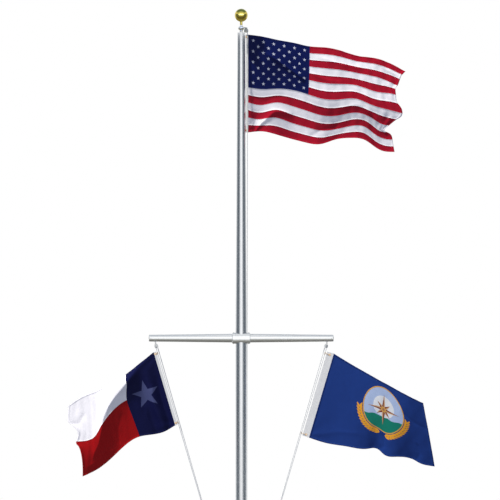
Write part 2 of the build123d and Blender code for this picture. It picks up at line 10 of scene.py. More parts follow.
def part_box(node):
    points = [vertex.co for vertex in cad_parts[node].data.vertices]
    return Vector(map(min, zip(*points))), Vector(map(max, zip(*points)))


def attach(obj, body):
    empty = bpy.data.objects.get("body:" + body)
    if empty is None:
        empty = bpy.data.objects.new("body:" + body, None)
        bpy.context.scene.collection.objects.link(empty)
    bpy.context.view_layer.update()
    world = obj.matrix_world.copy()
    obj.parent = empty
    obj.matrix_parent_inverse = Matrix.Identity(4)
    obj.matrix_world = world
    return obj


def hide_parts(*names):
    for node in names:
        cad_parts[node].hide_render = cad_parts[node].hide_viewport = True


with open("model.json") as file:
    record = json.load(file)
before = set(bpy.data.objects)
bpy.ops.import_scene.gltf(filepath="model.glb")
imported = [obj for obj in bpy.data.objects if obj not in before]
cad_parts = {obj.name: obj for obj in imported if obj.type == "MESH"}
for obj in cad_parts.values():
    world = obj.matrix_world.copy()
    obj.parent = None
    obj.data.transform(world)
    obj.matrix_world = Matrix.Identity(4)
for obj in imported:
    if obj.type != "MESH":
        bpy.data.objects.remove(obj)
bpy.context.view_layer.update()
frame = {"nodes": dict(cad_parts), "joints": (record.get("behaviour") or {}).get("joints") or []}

bl_info = {
    "name": "Flagpole with yardarm and three flags",
    "version": (1, 0, 0),
    "blender": (4, 5, 0),
    "location": "View3D > Sidebar > Flagpole",
    "description": "Dresses the flagpole's frame with metal finishes, braided halyards and flags",
    "category": "Object",
}

# Sizes in metres that the pieces share
MM = 0.001
YARD_HEIGHT = sum(corner.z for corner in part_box("yard_collar")) / 2
MAST_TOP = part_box("mast_shaft")[1].z
YARD_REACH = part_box("yard_cap_right")[1].x
FLAGS = ("main_flag", "left_flag", "right_flag")


# Helpers that many pieces share


def linear(code):
    """Linear red, green, blue and alpha of an sRGB hex colour."""
    parts = [int(code[i : i + 2], 16) / 255 for i in (1, 3, 5)]
    return [p / 12.92 if p <= 0.04045 else ((p + 0.055) / 1.055) ** 2.4 for p in parts] + [1.0]


def add_node(tree, kind, options=None, inputs=None):
    """Add a shader node, set its options and give each input a value or a link.

    A link comes from a socket, or from the first output of a node.
    """
    made = tree.nodes.new("ShaderNode" + kind)
    for key, value in (options or {}).items():
        setattr(made, key, value)
    for key, value in (inputs or {}).items():
        if isinstance(value, bpy.types.Node):
            value = value.outputs[0]
        if isinstance(value, bpy.types.NodeSocket):
            tree.links.new(value, made.inputs[key])
        else:
            made.inputs[key].default_value = value
    return made


def blank_material(name):
    """A material with an empty tree but for its shader, and the two of them."""
    material = bpy.data.materials.new(name)
    material.use_nodes = True
    tree = material.node_tree
    tree.nodes.clear()
    shader = add_node(tree, "BsdfPrincipled")
    add_node(tree, "OutputMaterial", inputs={"Surface": shader})
    return material, tree, shader


def finish_surface(tree, shader, colour, tone, height, strength, depth):
    """Vary a colour by a tone, and bump the skin by a height with a depth in metres."""
    shade = add_node(tree, "Mix", {"data_type": "RGBA", "blend_type": "MULTIPLY"},
                     {"Factor": 1.0, "A": colour, "B": tone})
    bump = add_node(tree, "Bump", inputs={"Height": height, "Strength": strength, "Distance": depth})
    tree.links.new(shade.outputs["Result"], shader.inputs["Base Color"])
    tree.links.new(bump.outputs[0], shader.inputs["Normal"])


def new_object(name, data):
    """A new object in the scene."""
    obj = bpy.data.objects.new(name, data)
    bpy.context.scene.collection.objects.link(obj)
    return obj


def only(obj):
    """Select one object alone and make it active."""
    bpy.ops.object.select_all(action="DESELECT")
    obj.select_set(True)
    bpy.context.view_layer.objects.active = obj


def dress(material, *nodes):
    """Give CAD nodes a finish."""
    for name in nodes:
        obj = frame["nodes"][name]
        if not obj.material_slots:
            obj.data.materials.append(material)
        for slot in obj.material_slots:
            slot.material = material


def settle(obj, name, body, material):
    """Name a finished piece, give it its finish and let it ride on its body."""
    obj.name = name
    obj.data.name = name
    obj.data.materials.clear()
    obj.data.materials.append(material)
    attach(obj, body)
    return obj


def mesh_object(name, points, faces):
    """A new object from points and faces."""
    mesh = bpy.data.meshes.new(name)
    mesh.from_pydata([tuple(p) for p in points], [], faces)
    mesh.validate()
    return new_object(name, mesh)


def placed_copy(proto, origin, outward):
    """A copy of a small piece with its own mesh, its +Z turned outward at origin."""
    turn = Vector(outward).to_track_quat("Z", "Y").to_matrix().to_4x4()
    mesh = proto.data.copy()
    mesh.transform(Matrix.Translation(Vector(origin)) @ turn)
    return new_object(proto.name, mesh)


def natural_spline(knots, values, at):
    """A natural cubic spline through values at knots, read at new places."""
    knots, at = np.asarray(knots, float), np.asarray(at, float)
    values = np.asarray(values, float)
    flat = values.reshape(len(knots), -1)
    gaps = np.diff(knots)
    slopes = np.diff(flat, axis=0) / gaps[:, None]
    system, right = np.eye(len(knots)), np.zeros_like(flat)
    for i in range(1, len(knots) - 1):
        system[i, i - 1 : i + 2] = gaps[i - 1], 2 * (gaps[i - 1] + gaps[i]), gaps[i]
        right[i] = 6 * (slopes[i] - slopes[i - 1])
    bends = np.linalg.solve(system, right)
    cell = np.clip(np.searchsorted(knots, at) - 1, 0, len(knots) - 2)
    width = gaps[cell][:, None]
    b = (at - knots[cell])[:, None] / width
    a = 1 - b
    read = a * flat[cell] + b * flat[cell + 1]
    read += ((a**3 - a) * bends[cell] + (b**3 - b) * bends[cell + 1]) * width**2 / 6
    return read.reshape((len(at),) + values.shape[1:])


# Settings that a user can change


def colour_prop(name, code, description):
    """A colour that a user can change, with an sRGB hex default."""
    return bpy.props.FloatVectorProperty(
        name=name, description=description, subtype="COLOR", size=4, min=0, max=1,
        default=linear(code),
    )


class PoleFinishSettings(bpy.types.PropertyGroup):
    mast: colour_prop("Mast", "#DADCDF", "Satin aluminium of the mast")
    aluminium: colour_prop("Aluminium", "#E6E8EA", "Satin aluminium of the yardarm and flash collar")
    casting: colour_prop("Castings", "#DADDE0", "Cast aluminium of collar, truck and cleats")
    gold: colour_prop("Gold", "#D9C460", "Gold anodising of the ball")
    satin_roughness: bpy.props.FloatProperty(
        name="Satin roughness", description="Roughness of the brushed tubes",
        default=0.24, min=0.05, max=1,
    )


class RopeSettings(bpy.types.PropertyGroup):
    colour: colour_prop("Rope", "#E9EBEA", "White polyester of the halyards")
    diameter: bpy.props.FloatProperty(
        name="Diameter", description="Diameter of the halyards",
        default=0.008, min=0.004, max=0.02, unit="LENGTH",
    )
    braid_pitch: bpy.props.FloatProperty(
        name="Braid pitch", description="Length of one diamond of the braid",
        default=0.012, min=0.006, max=0.03, unit="LENGTH",
    )
    step: bpy.props.FloatProperty(
        name="Step", description="Distance between two rings of the rope's mesh",
        default=0.003, min=0.001, max=0.02, unit="LENGTH",
    )


class FlagSettings(bpy.types.PropertyGroup):
    red: colour_prop("Red", "#AA122A", "Red stripes")
    white: colour_prop("White", "#F6F4F8", "White stripes and fields")
    navy: colour_prop("Navy", "#0B164E", "Blue canton of the striped flag")
    star_white: colour_prop("Stars", "#C9CDDC", "Embroidered stars of the canton")
    deep_red: colour_prop("Deep red", "#A50F13", "Red field of the lone-star flag")
    deep_blue: colour_prop("Deep blue", "#11143F", "Blue field of the lone-star flag")
    # Painted shade: the lone star is white, given here the slate colour it shows in shade
    shaded_white_star: colour_prop("Lone star", "#484E79", "The lone star")
    royal: colour_prop("Royal blue", "#1C3779", "Field of the royal-blue flag")
    cloth_half: bpy.props.FloatProperty(
        name="Half thickness", description="Half of the cloth's thickness as it is drawn",
        default=0.0006, min=0.0001, max=0.002, unit="LENGTH",
    )
    mesh_step: bpy.props.FloatProperty(
        name="Mesh step", description="Distance between two lines of the cloth's mesh",
        default=0.012, min=0.004, max=0.05, unit="LENGTH",
    )


class StageSettings(bpy.types.PropertyGroup):
    distance: bpy.props.FloatProperty(
        name="Camera distance", description="Distance of the camera from the mast",
        default=30.9, min=5, max=100, unit="LENGTH",
    )
    lens: bpy.props.FloatProperty(
        name="Lens", description="Focal length of the camera in millimetres",
        default=200, min=35, max=400,
    )
    sky: bpy.props.FloatProperty(
        name="Sky light", description="Strength of the even light from all round",
        default=0.42, min=0, max=2,
    )
    sun: bpy.props.FloatProperty(
        name="Sun", description="Strength of the sun lamp", default=4.45, min=0, max=10,
    )


# Metal finishes


def satin_tube(name, lines_per_metre, colour, roughness):
    """Extruded aluminium tube, satin brushed along its length.

    Brushing leaves fine lines, which draw highlights out across the tube and vary its
    gloss a little. They are under 0.1 mm wide and drawn at about 2.4 mm so that they show.
    Clouds of handling a third of a metre wide lie over them.
    """
    material, tree, shader = blank_material(name)
    place = add_node(tree, "TexCoord").outputs["Object"]
    lined = add_node(tree, "Mapping", inputs={"Vector": place, "Scale": lines_per_metre})
    lines = add_node(tree, "TexNoise", inputs={"Vector": lined, "Scale": 1.0, "Detail": 3.0})
    clouds = add_node(tree, "TexNoise", inputs={"Vector": place, "Scale": 3.0, "Detail": 2.0})
    tone = add_node(tree, "MapRange", inputs={"Value": lines, "To Min": 0.93, "To Max": 1.04})
    gloss = add_node(tree, "MapRange", inputs={
        "Value": clouds, "To Min": roughness - 0.05, "To Max": roughness + 0.06})
    tree.links.new(gloss.outputs[0], shader.inputs["Roughness"])
    finish_surface(tree, shader, colour, tone, lines, 0.05, 0.4 * MM)
    shader.inputs["Metallic"].default_value = 1.0
    return material


def grained_metal(name, colour, roughness, grit, depth, metallic=1.0, streak=(1, 1, 1)):
    """Cast, spun or polished metal with a grain of a given size and depth in metres.

    streak stretches the grain, and patches of wear about 45 mm wide lie over it.
    """
    material, tree, shader = blank_material(name)
    place = add_node(tree, "TexCoord").outputs["Object"]
    lined = add_node(tree, "Mapping", inputs={"Vector": place, "Scale": streak})
    grain = add_node(tree, "TexNoise", inputs={
        "Vector": lined, "Scale": 1 / grit, "Detail": 4.0, "Roughness": 0.6})
    wear = add_node(tree, "TexNoise", inputs={"Vector": place, "Scale": 22.0, "Detail": 3.0})
    tone = add_node(tree, "MapRange", inputs={"Value": wear, "To Min": 0.9, "To Max": 1.06})
    gloss = add_node(tree, "MapRange", inputs={
        "Value": grain, "To Min": roughness * 0.85, "To Max": roughness * 1.15})
    tree.links.new(gloss.outputs[0], shader.inputs["Roughness"])
    finish_surface(tree, shader, colour, tone, grain, 0.3, depth)
    shader.inputs["Metallic"].default_value = metallic
    return material


def cast_aluminium(colour):
    """Sand-cast aluminium: a grit of about a millimetre shows under a dull buffing."""
    return grained_metal("cast_aluminium", colour, 0.36, 1.6 * MM, 0.4 * MM)


def buffed_casting(colour):
    """A casting buffed level with the yardarm: bright, with only a trace of the grit."""
    return grained_metal("buffed_casting", colour, 0.25, 1.6 * MM, 0.12 * MM, streak=(0.1, 1, 1))


def spun_aluminium(colour):
    """Aluminium spun on a lathe: rings run round the bell, so its grain is drawn out level."""
    return grained_metal("spun_aluminium", colour, 0.3, 1.2 * MM, 0.2 * MM, streak=(0.1, 0.1, 1))


def gold_anodising(colour):
    """Spun aluminium anodised gold: a clear gloss over faint level spinning rings."""
    return grained_metal("gold_anodised_aluminium", colour, 0.2, 1.4 * MM, 0.05 * MM,
                         streak=(0.15, 0.15, 1))


def polished_steel():
    """Polished stainless steel: bright, with the hairline scratches of its polishing."""
    return grained_metal("polished_stainless_steel", linear("#F0F1F2"), 0.3, 0.8 * MM, 0.1 * MM,
                         streak=(1, 0.2, 1))


def passivated_steel():
    """Passivated stainless steel of the screws: bright with a slightly grey cast."""
    return grained_metal("passivated_steel_screws", linear("#A9ABAE"), 0.26, 0.7 * MM, 0.05 * MM)


def polished_brass():
    """Pressed brass rubbed bright by handling: warm, with faint dents in its highlights."""
    return grained_metal("polished_brass", linear("#C99A4B"), 0.22, 0.9 * MM, 0.1 * MM)


def moulded_nylon():
    """Moulded nylon of the sheaves: pale grey, slightly mottled, with no metal in it."""
    return grained_metal("moulded_nylon", linear("#CDCFD0"), 0.45, 1.2 * MM, 0.2 * MM, metallic=0.0)


class FLAGPOLE_OT_metalwork(bpy.types.Operator):
    """Give the mast, yardarm, castings, blocks and ball their metal finishes"""

    bl_idname = "flagpole.metalwork"
    bl_label = "Metalwork"

    def execute(self, context):
        finish = context.scene.pole_finish
        # Brushed lines to a metre across each tube and along it
        across, along = 420, 3
        mast = satin_tube("satin_aluminium_mast", (across, across, along), finish.mast,
                          finish.satin_roughness)
        yard = satin_tube("satin_aluminium_yard", (along, across, across), finish.aluminium,
                          finish.satin_roughness)
        dress(mast, "mast_shaft", "mast_butt_plate")
        dress(yard, "yardarm_left", "yardarm_right")
        dress(buffed_casting(finish.aluminium), "yard_collar", "yard_cap_left", "yard_cap_right")
        dress(cast_aluminium(finish.casting), "truck_body", "main_cleat", "left_cleat", "right_cleat")
        dress(spun_aluminium(finish.aluminium), "flash_collar")
        dress(gold_anodising(finish.gold), "ball_finial")
        dress(polished_steel(), "yard_eye_left", "yard_eye_right", "yard_block_left", "yard_block_right",
              "truck_sheave_pin", "yard_sheave_pin_left", "yard_sheave_pin_right")
        dress(moulded_nylon(), "truck_sheave", "yard_sheave_left", "yard_sheave_right")
        brass = polished_brass()
        for flag in FLAGS:
            dress(brass, f"{flag}_grommets", f"{flag}_snap_top", f"{flag}_snap_bottom")
        return {"FINISHED"}


# Fasteners

# Seats are sunk a little into their pieces. Radii are from the middle of the mast or of
# the yardarm, and the other places from the middle or the edge of the piece
SUNK = 0.2 * MM
ARM_SCREW_OUT, ARM_SCREW_FRONT = 83 * MM, 12 * MM
CAP_SCREW_IN, CAP_RADIUS = 24 * MM, 38.2 * MM
TRUCK_SCREW_DOWN, TRUCK_RADIUS = 28 * MM, 42.1 * MM
NECK_SCREW_DOWN, NECK_RADIUS = 9 * MM, 66.2 * MM
CLEAT_SCREW_OFF, CLEAT_PAD_RADIUS = 40 * MM, 69.4 * MM


def socket_screw(radius, height):
    """A button-head screw with a hexagon socket, its underside on the XY plane."""
    rim, lip, across, sunk = radius * 0.45, radius * 0.02, radius * 0.42, height * 0.6
    bpy.ops.object.select_all(action="DESELECT")
    bpy.ops.mesh.primitive_cylinder_add(
        vertices=24, radius=radius, depth=height, location=(0, 0, height / 2))
    screw = bpy.context.object
    bpy.ops.object.transform_apply(location=True, rotation=True, scale=True)
    bpy.ops.object.mode_set(mode="EDIT")
    bpy.ops.mesh.select_mode(type="FACE")
    bpy.ops.mesh.select_all(action="DESELECT")
    shape = bmesh.from_edit_mesh(screw.data)
    top = max(shape.faces, key=lambda f: f.calc_center_median().z)
    top.select_set(True)
    bmesh.update_edit_mesh(screw.data)
    bpy.ops.mesh.inset(thickness=rim)
    bpy.ops.mesh.inset(thickness=lip)
    bpy.ops.mesh.extrude_region_move(TRANSFORM_OT_translate={"value": (0, 0, -sunk)})
    # The round hollow inside the rim is drawn in to a hexagon
    shape = bmesh.from_edit_mesh(screw.data)
    for vert in shape.verts:
        reach = math.hypot(vert.co.x, vert.co.y)
        if reach < radius * 0.6:
            turn = math.atan2(vert.co.y, vert.co.x) % (math.pi / 3) - math.pi / 6
            scale = across / math.cos(turn) / reach
            vert.co.x *= scale
            vert.co.y *= scale
    bmesh.update_edit_mesh(screw.data)
    bpy.ops.object.mode_set(mode="OBJECT")
    rounding = screw.modifiers.new("rounded head", "BEVEL")
    rounding.width = height * 0.35
    rounding.segments = 3
    rounding.limit_method = "ANGLE"
    rounding.angle_limit = math.radians(60)
    bpy.ops.object.modifier_apply(modifier=rounding.name)
    bpy.ops.object.shade_smooth_by_angle(angle=math.radians(35))
    return screw


def cleat_frame(word):
    """The middle of a cleat and the level direction in which it faces."""
    low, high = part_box(f"{word}_cleat")
    middle = (low + high) / 2
    return middle, Vector((middle.x, middle.y, 0)).normalized()


def screw_places():
    """Name, seat and outward direction of every screw on the pole."""
    places = []
    low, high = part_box("yard_collar")
    places.append(("collar_screw", (0, high.y - SUNK, YARD_HEIGHT), (0, 1, 0)))
    for word, x in (("left", -1), ("right", 1)):
        for level, z, way in (("top", high.z - SUNK, 1), ("under", low.z + SUNK, -1)):
            seat = (x * ARM_SCREW_OUT, -ARM_SCREW_FRONT, z)
            places.append((f"socket_screw_{word}_{level}", seat, (0, 0, way)))
        seat = (x * (YARD_REACH - CAP_SCREW_IN), -CAP_RADIUS, YARD_HEIGHT)
        places.append((f"cap_screw_{word}", seat, (0, -1, 0)))
    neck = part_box("flash_collar")[1].z
    for i, turn in enumerate((100, 220, 340)):
        way = Vector((math.cos(math.radians(turn)), math.sin(math.radians(turn)), 0))
        seat = way * TRUCK_RADIUS + Vector((0, 0, MAST_TOP - TRUCK_SCREW_DOWN))
        places.append((f"truck_screw_{i + 1}", seat, way))
        seat = way * NECK_RADIUS + Vector((0, 0, neck - NECK_SCREW_DOWN))
        places.append((f"flash_screw_{i + 1}", seat, way))
    for word in ("main", "left", "right"):
        middle, way = cleat_frame(word)
        for level, off in (("upper", CLEAT_SCREW_OFF), ("lower", -CLEAT_SCREW_OFF)):
            seat = way * CLEAT_PAD_RADIUS + Vector((0, 0, middle.z + off))
            places.append((f"{word}_cleat_screw_{level}", seat, way))
    return places


def silicone_sealant():
    """Tooled grey silicone: a soft gloss over lumps about 11 mm wide left by the tool."""
    material, tree, shader = blank_material("silicone_sealant")
    place = add_node(tree, "TexCoord").outputs["Object"]
    lumps = add_node(tree, "TexNoise", inputs={"Vector": place, "Scale": 90.0, "Detail": 2.0})
    bump = add_node(tree, "Bump", inputs={"Height": lumps, "Strength": 0.4, "Distance": 0.6 * MM})
    tree.links.new(bump.outputs[0], shader.inputs["Normal"])
    shader.inputs["Base Color"].default_value = linear("#A9ABA8")
    shader.inputs["Roughness"].default_value = 0.42
    return material


def sealant_bead():
    """A slightly uneven bead that keeps rain out of the flash collar's neck."""
    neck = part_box("flash_collar")[1].z
    bpy.ops.object.select_all(action="DESELECT")
    bpy.ops.mesh.primitive_torus_add(
        location=(0, 0, neck + 0.6 * MM), major_radius=65 * MM, minor_radius=2.4 * MM,
        major_segments=96, minor_segments=12)
    bead = bpy.context.object
    bpy.ops.object.transform_apply(location=True, rotation=True, scale=True)
    for vert in bead.data.vertices:
        turn = math.atan2(vert.co.y, vert.co.x)
        vert.co.z += 0.5 * MM * math.sin(7 * turn + 1) + 0.3 * MM * math.sin(19 * turn)
    bpy.ops.object.shade_smooth()
    return bead


class FLAGPOLE_OT_fasteners(bpy.types.Operator):
    """Add the socket screws of collar, caps, truck, cleats and flash collar, and its sealant"""

    bl_idname = "flagpole.fasteners"
    bl_label = "Fasteners"

    def execute(self, context):
        steel = passivated_steel()
        large = socket_screw(5.2 * MM, 3.2 * MM)
        small = socket_screw(3.4 * MM, 2.2 * MM)
        for name, seat, way in screw_places():
            proto = small if name.startswith(("truck", "flash", "cap")) else large
            settle(placed_copy(proto, seat, way), name, "mast", steel)
        for proto in (large, small):
            bpy.data.objects.remove(proto)
        settle(sealant_bead(), "flash_sealant", "mast", silicone_sealant())
        return {"FINISHED"}


# Halyards

# Corners of each closed halyard: above the cleat, round the sheave, down and round
# the cleat's stem. Each corner is rounded by the radius beside it.
KINK, GROOVE, STEM = 0.06, 0.0188, 0.0153
HALYARD_CORNERS = {
    "main": (
        ((0.03511, 0.07735, 1.542), KINK), ((0.03893, 0.08872, 7.6708), GROOVE),
        ((0.07005, 0.06692, 7.6708), GROOVE), ((0.06067, 0.05945, 1.542), KINK),
        ((0.06067, 0.05945, 1.4154), STEM), ((0.03511, 0.07735, 1.4154), STEM),
    ),
    "left": (
        ((-0.0835, -0.0156, 1.192), KINK), ((-0.95814, -0.01645, 4.15287), GROOVE),
        ((-0.9399, 0.01645, 4.15819), GROOVE), ((-0.0835, 0.0156, 1.192), KINK),
        ((-0.0835, 0.0156, 1.0654), STEM), ((-0.0835, -0.0156, 1.0654), STEM),
    ),
    "right": (
        ((0.0835, -0.0156, 1.192), KINK), ((0.95814, -0.01645, 4.15287), GROOVE),
        ((0.9399, 0.01645, 4.15819), GROOVE), ((0.0835, 0.0156, 1.192), KINK),
        ((0.0835, 0.0156, 1.0654), STEM), ((0.0835, -0.0156, 1.0654), STEM),
    ),
}

# Figure-of-eight turns round a cleat: across, up and out from its seat on the mast
TURN_CORNERS = (
    (0.019, 0.08, 0.0295), (0.020, 0.048, 0.055), (-0.020, -0.048, 0.055), (-0.019, -0.08, 0.0295),
    (0.019, -0.08, 0.0295), (0.020, -0.048, 0.064), (-0.020, 0.048, 0.064), (-0.019, 0.08, 0.0295),
)
TURN_ROUNDING = 11 * MM
MAST_RADIUS = 63.5 * MM
ARC_STEP = 1.5 * MM


def rounded_loop(corners):
    """Points along a closed line of straight runs whose corners are rounded by arcs."""
    points = []
    count = len(corners)
    for i, (corner, radius) in enumerate(corners):
        corner = Vector(corner)
        back = (Vector(corners[i - 1][0]) - corner).normalized()
        ahead = (Vector(corners[(i + 1) % count][0]) - corner).normalized()
        half = back.angle(ahead) / 2
        middle = corner + (back + ahead).normalized() * (radius / math.sin(half))
        start = corner + back * (radius / math.tan(half)) - middle
        end = corner + ahead * (radius / math.tan(half)) - middle
        sweep = start.angle(end)
        steps = max(3, round(sweep * radius / ARC_STEP))
        for k in range(steps + 1):
            near, far = math.sin((1 - k / steps) * sweep), math.sin(k / steps * sweep)
            points.append(middle + (start * near + end * far) / math.sin(sweep))
    return points


def even_steps(points, step):
    """The same closed line with points a step apart, and its length."""
    line = np.array([tuple(p) for p in points] + [tuple(points[0])])
    lengths = np.concatenate(([0], np.cumsum(np.linalg.norm(np.diff(line, axis=0), axis=1))))
    count = int(round(lengths[-1] / step))
    at = np.linspace(0, lengths[-1], count, endpoint=False)
    return np.stack([np.interp(at, lengths, line[:, k]) for k in range(3)], axis=1), lengths[-1]


def carried_frame(line):
    """Directions ahead and across at each point of a closed line, and the slip.

    The direction across is carried along without twist, so it comes back turned by the slip.
    """
    ahead = np.roll(line, -1, axis=0) - np.roll(line, 1, axis=0)
    ahead /= np.linalg.norm(ahead, axis=1)[:, None]
    across = np.zeros_like(line)
    across[0] = Vector(ahead[0]).orthogonal().normalized()
    for i in range(1, len(line)):
        carried = across[i - 1] - ahead[i] * np.dot(across[i - 1], ahead[i])
        across[i] = carried / np.linalg.norm(carried)
    closing = across[-1] - ahead[0] * np.dot(across[-1], ahead[0])
    closing /= np.linalg.norm(closing)
    other = np.cross(ahead[0], across[0])
    slip = math.atan2(float(np.dot(closing, other)), float(np.dot(closing, across[0])))
    return ahead, across, slip


def braided_loop(name, corners, rope):
    """A closed braided rope: a tube whose skin rises where the strands cross on top."""
    sides, rise = 12, 0.045
    line, length = even_steps(rounded_loop(corners), rope.step)
    count = len(line)
    ahead, across, slip = carried_frame(line)
    cross = np.cross(ahead, across)
    turns = np.linspace(0, 2 * np.pi, sides, endpoint=False)
    along = np.arange(count) * length / count
    phase = (2 * np.pi * round(length / rope.braid_pitch) * along / length)[:, None]
    # Each ring takes back its share of the slip, so that the last one meets the first
    angle = (turns[None, :] - (slip * along / length)[:, None])[..., None]
    braid = np.maximum(np.cos(3 * turns + phase), np.cos(3 * turns - phase))
    reach = (rope.diameter / 2 * (1 - rise + rise * braid))[..., None]
    skin = line[:, None] + reach * (np.cos(angle) * across[:, None] + np.sin(angle) * cross[:, None])
    faces = []
    for i in range(count):
        j = (i + 1) % count
        for k in range(sides):
            m = (k + 1) % sides
            faces.append((i * sides + k, i * sides + m, j * sides + m, j * sides + k))
    obj = mesh_object(name, skin.reshape(-1, 3), faces)
    uv = obj.data.uv_layers.new(name="rope")
    u = np.array([0, 1, 1, 0]) + np.tile(np.arange(sides), count)[:, None]
    v = np.array([0, 0, 1, 1]) + np.repeat(np.arange(count), sides)[:, None]
    laid = np.stack([u / sides, v / count], axis=-1)
    uv.data.foreach_set("uv", laid.astype(np.float32).ravel())
    obj.data.shade_smooth()
    obj["rope_length"] = float(length)
    return obj


def rope_material(name, rope, length):
    """Braided polyester: matt, yarns run across the strands and shade is painted between them."""
    material, tree, shader = blank_material(name)
    lay = add_node(tree, "UVMap", {"uv_map": "rope"})
    parts = add_node(tree, "SeparateXYZ", inputs={0: lay})
    turns, diamonds = 6 * math.pi, 2 * math.pi * round(length / rope.braid_pitch)
    angle = add_node(tree, "Math", {"operation": "MULTIPLY"}, {0: parts.outputs[0], 1: turns})
    run = add_node(tree, "Math", {"operation": "MULTIPLY"}, {0: parts.outputs[1], 1: diamonds})
    strands = []
    for operation in ("ADD", "SUBTRACT"):
        turn = add_node(tree, "Math", {"operation": operation}, {0: angle, 1: run})
        strands.append(add_node(tree, "Math", {"operation": "COSINE"}, {0: turn}))
    height = add_node(tree, "Math", {"operation": "MAXIMUM"}, {0: strands[0], 1: strands[1]})
    # Yarns are about 0.5 mm, drawn at 0.9 mm so that they show
    yarns = 2 * math.pi * length / (0.9 * MM)
    yarn = add_node(tree, "Math", {"operation": "MULTIPLY_ADD"}, {0: parts.outputs[1], 1: yarns, 2: angle})
    yarn = add_node(tree, "Math", {"operation": "SINE"}, {0: yarn})
    both = add_node(tree, "Math", {"operation": "MULTIPLY_ADD"}, {0: yarn, 1: 0.12, 2: height})
    # Painted shade: the rope is darker where the braid sinks between its strands
    tone = add_node(tree, "MapRange", inputs={
        "Value": height, "From Min": -0.5, "From Max": 1.0, "To Min": 0.72, "To Max": 1.0})
    finish_surface(tree, shader, rope.colour, tone, both, 0.6, 0.4 * MM)
    shader.inputs["Roughness"].default_value = 0.8
    shader.inputs["Specular IOR Level"].default_value = 0.15
    return material


def laid_rope(name, corners, finish_name):
    """A finished loop of rope on the mast."""
    rope = bpy.context.scene.pole_rope
    loop = braided_loop(name, corners, rope)
    finish = rope_material(finish_name, rope, loop["rope_length"])
    return settle(loop, name, "mast", finish)


def belayed_corners(word):
    """Corners of the turns on one cleat."""
    middle, out = cleat_frame(word)
    across = Vector((-out.y, out.x, 0))
    seat = out * MAST_RADIUS + Vector((0, 0, middle.z))
    return [(seat + across * a + Vector((0, 0, up)) + out * r, TURN_ROUNDING) for a, up, r in TURN_CORNERS]


class FLAGPOLE_OT_halyards(bpy.types.Operator):
    """Make the three braided halyards and the turns that belay them on their cleats"""

    bl_idname = "flagpole.halyards"
    bl_label = "Halyards"

    def execute(self, context):
        for word, corners in HALYARD_CORNERS.items():
            fall = laid_rope(f"{word}_halyard_braid", corners, f"braided_polyester_{word}")
            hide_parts(f"{word}_halyard")
            turns = laid_rope(f"{word}_belayed_turns", belayed_corners(word),
                              f"braided_polyester_{word}_turns")
            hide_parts(f"{word}_halyard_turns")
        return {"FINISHED"}


# Flags

# Each flag's hang in the wind. outs are shares of its length from heading to fly.
# A row is a share of the hoist from the top, then how far right and down of the
# cloth's upper corner each place lies, in millimetres. depths are distances behind
# the mast's middle plane in the same way, with stations of their own. fly is the
# free edge's own line: share of the hoist, right and down. A crease runs through
# shares out and down; its height is along the cloth's normal and its width is how
# far it fades, in millimetres.
MAIN_HANG = {
    "length": 1.79,
    "outs": (0, 0.1, 0.2, 0.3, 0.4, 0.5, 0.6, 0.7, 0.8, 0.9, 1),
    "rows": (
        (0, ((0, 0), (171, 23), (343, 60), (516, 90), (689, 128), (868, 141), (1047, 179), (1226, 233),
             (1399, 256), (1578, 313), (1757, 409))),
        (0.269, ((0, 297), (168, 322), (343, 336), (517, 366), (682, 393), (861, 416), (1040, 432),
                 (1213, 460), (1370, 496), (1520, 535), (1652, 583))),
        (0.538, ((0, 588), (167, 608), (337, 601), (510, 620), (670, 668), (842, 719), (1021, 723),
                 (1200, 716), (1373, 783), (1546, 834), (1721, 880))),
        (0.769, ((0, 853), (148, 867), (308, 838), (478, 886), (644, 938), (817, 987), (996, 982),
                 (1168, 944), (1322, 966), (1450, 1062), (1530, 1083))),
        (1, ((0, 1102), (148, 1079), (296, 1109), (459, 1155), (631, 1200), (804, 1221), (977, 1168),
             (1149, 1151), (1309, 1177), (1469, 1282), (1636, 1307))),
    ),
    "depth_outs": (0, 0.06, 0.14, 0.22, 0.3, 0.4, 0.5, 0.6, 0.7, 0.8, 0.9, 1),
    "depths": (
        (0, (89, 95, 106, 116, 124, 132, 128, 136, 144, 138, 144, 134)),
        (0.2, (89, 86, 82, 84, 92, 100, 100, 104, 112, 108, 114, 108)),
        (0.4, (89, 92, 102, 105, 92, 82, 82, 86, 90, 86, 92, 90)),
        (0.54, (89, 98, 108, 114, 108, 82, 70, 74, 78, 74, 78, 86)),
        (0.77, (89, 109, 110, 116, 132, 124, 111, 121, 115, 117, 132, 120)),
        (1, (89, 116, 94, 115, 146, 138, 124, 148, 130, 132, 156, 136)),
    ),
    "fly": (
        (0, 1757, 409), (0.077, 1718, 448), (0.154, 1695, 496), (0.231, 1667, 569), (0.3, 1644, 601),
        (0.385, 1649, 673), (0.46, 1670, 767), (0.51, 1714, 831), (0.538, 1721, 880), (0.615, 1658, 946),
        (0.692, 1571, 1013), (0.755, 1526, 1074), (0.79, 1578, 1100), (0.846, 1612, 1168),
        (0.923, 1624, 1243), (1, 1636, 1307),
    ),
    "creases": (
        (((0.11, 0.15), (0.24, 0.27), (0.38, 0.41)), -29, 30),
        (((0.04, 1.02), (0.1, 0.9), (0.19, 0.79), (0.32, 0.76)), -21, 28),
        (((0.0, 0.62), (0.12, 0.66), (0.26, 0.62)), 7, 34),
        (((0.4, 0.30), (0.52, 0.36), (0.62, 0.37)), -11, 26),
        (((0.46, 0.12), (0.6, 0.17), (0.76, 0.16)), -10, 28),
        (((0.6, 0.62), (0.74, 0.60), (0.86, 0.68), (0.97, 0.72)), -10, 28),
        (((0.8, 0.0), (0.88, 0.1), (0.97, 0.13)), -9, 24),
        (((0.42, 0.95), (0.5, 0.84), (0.62, 0.8)), 8, 30),
    ),
}
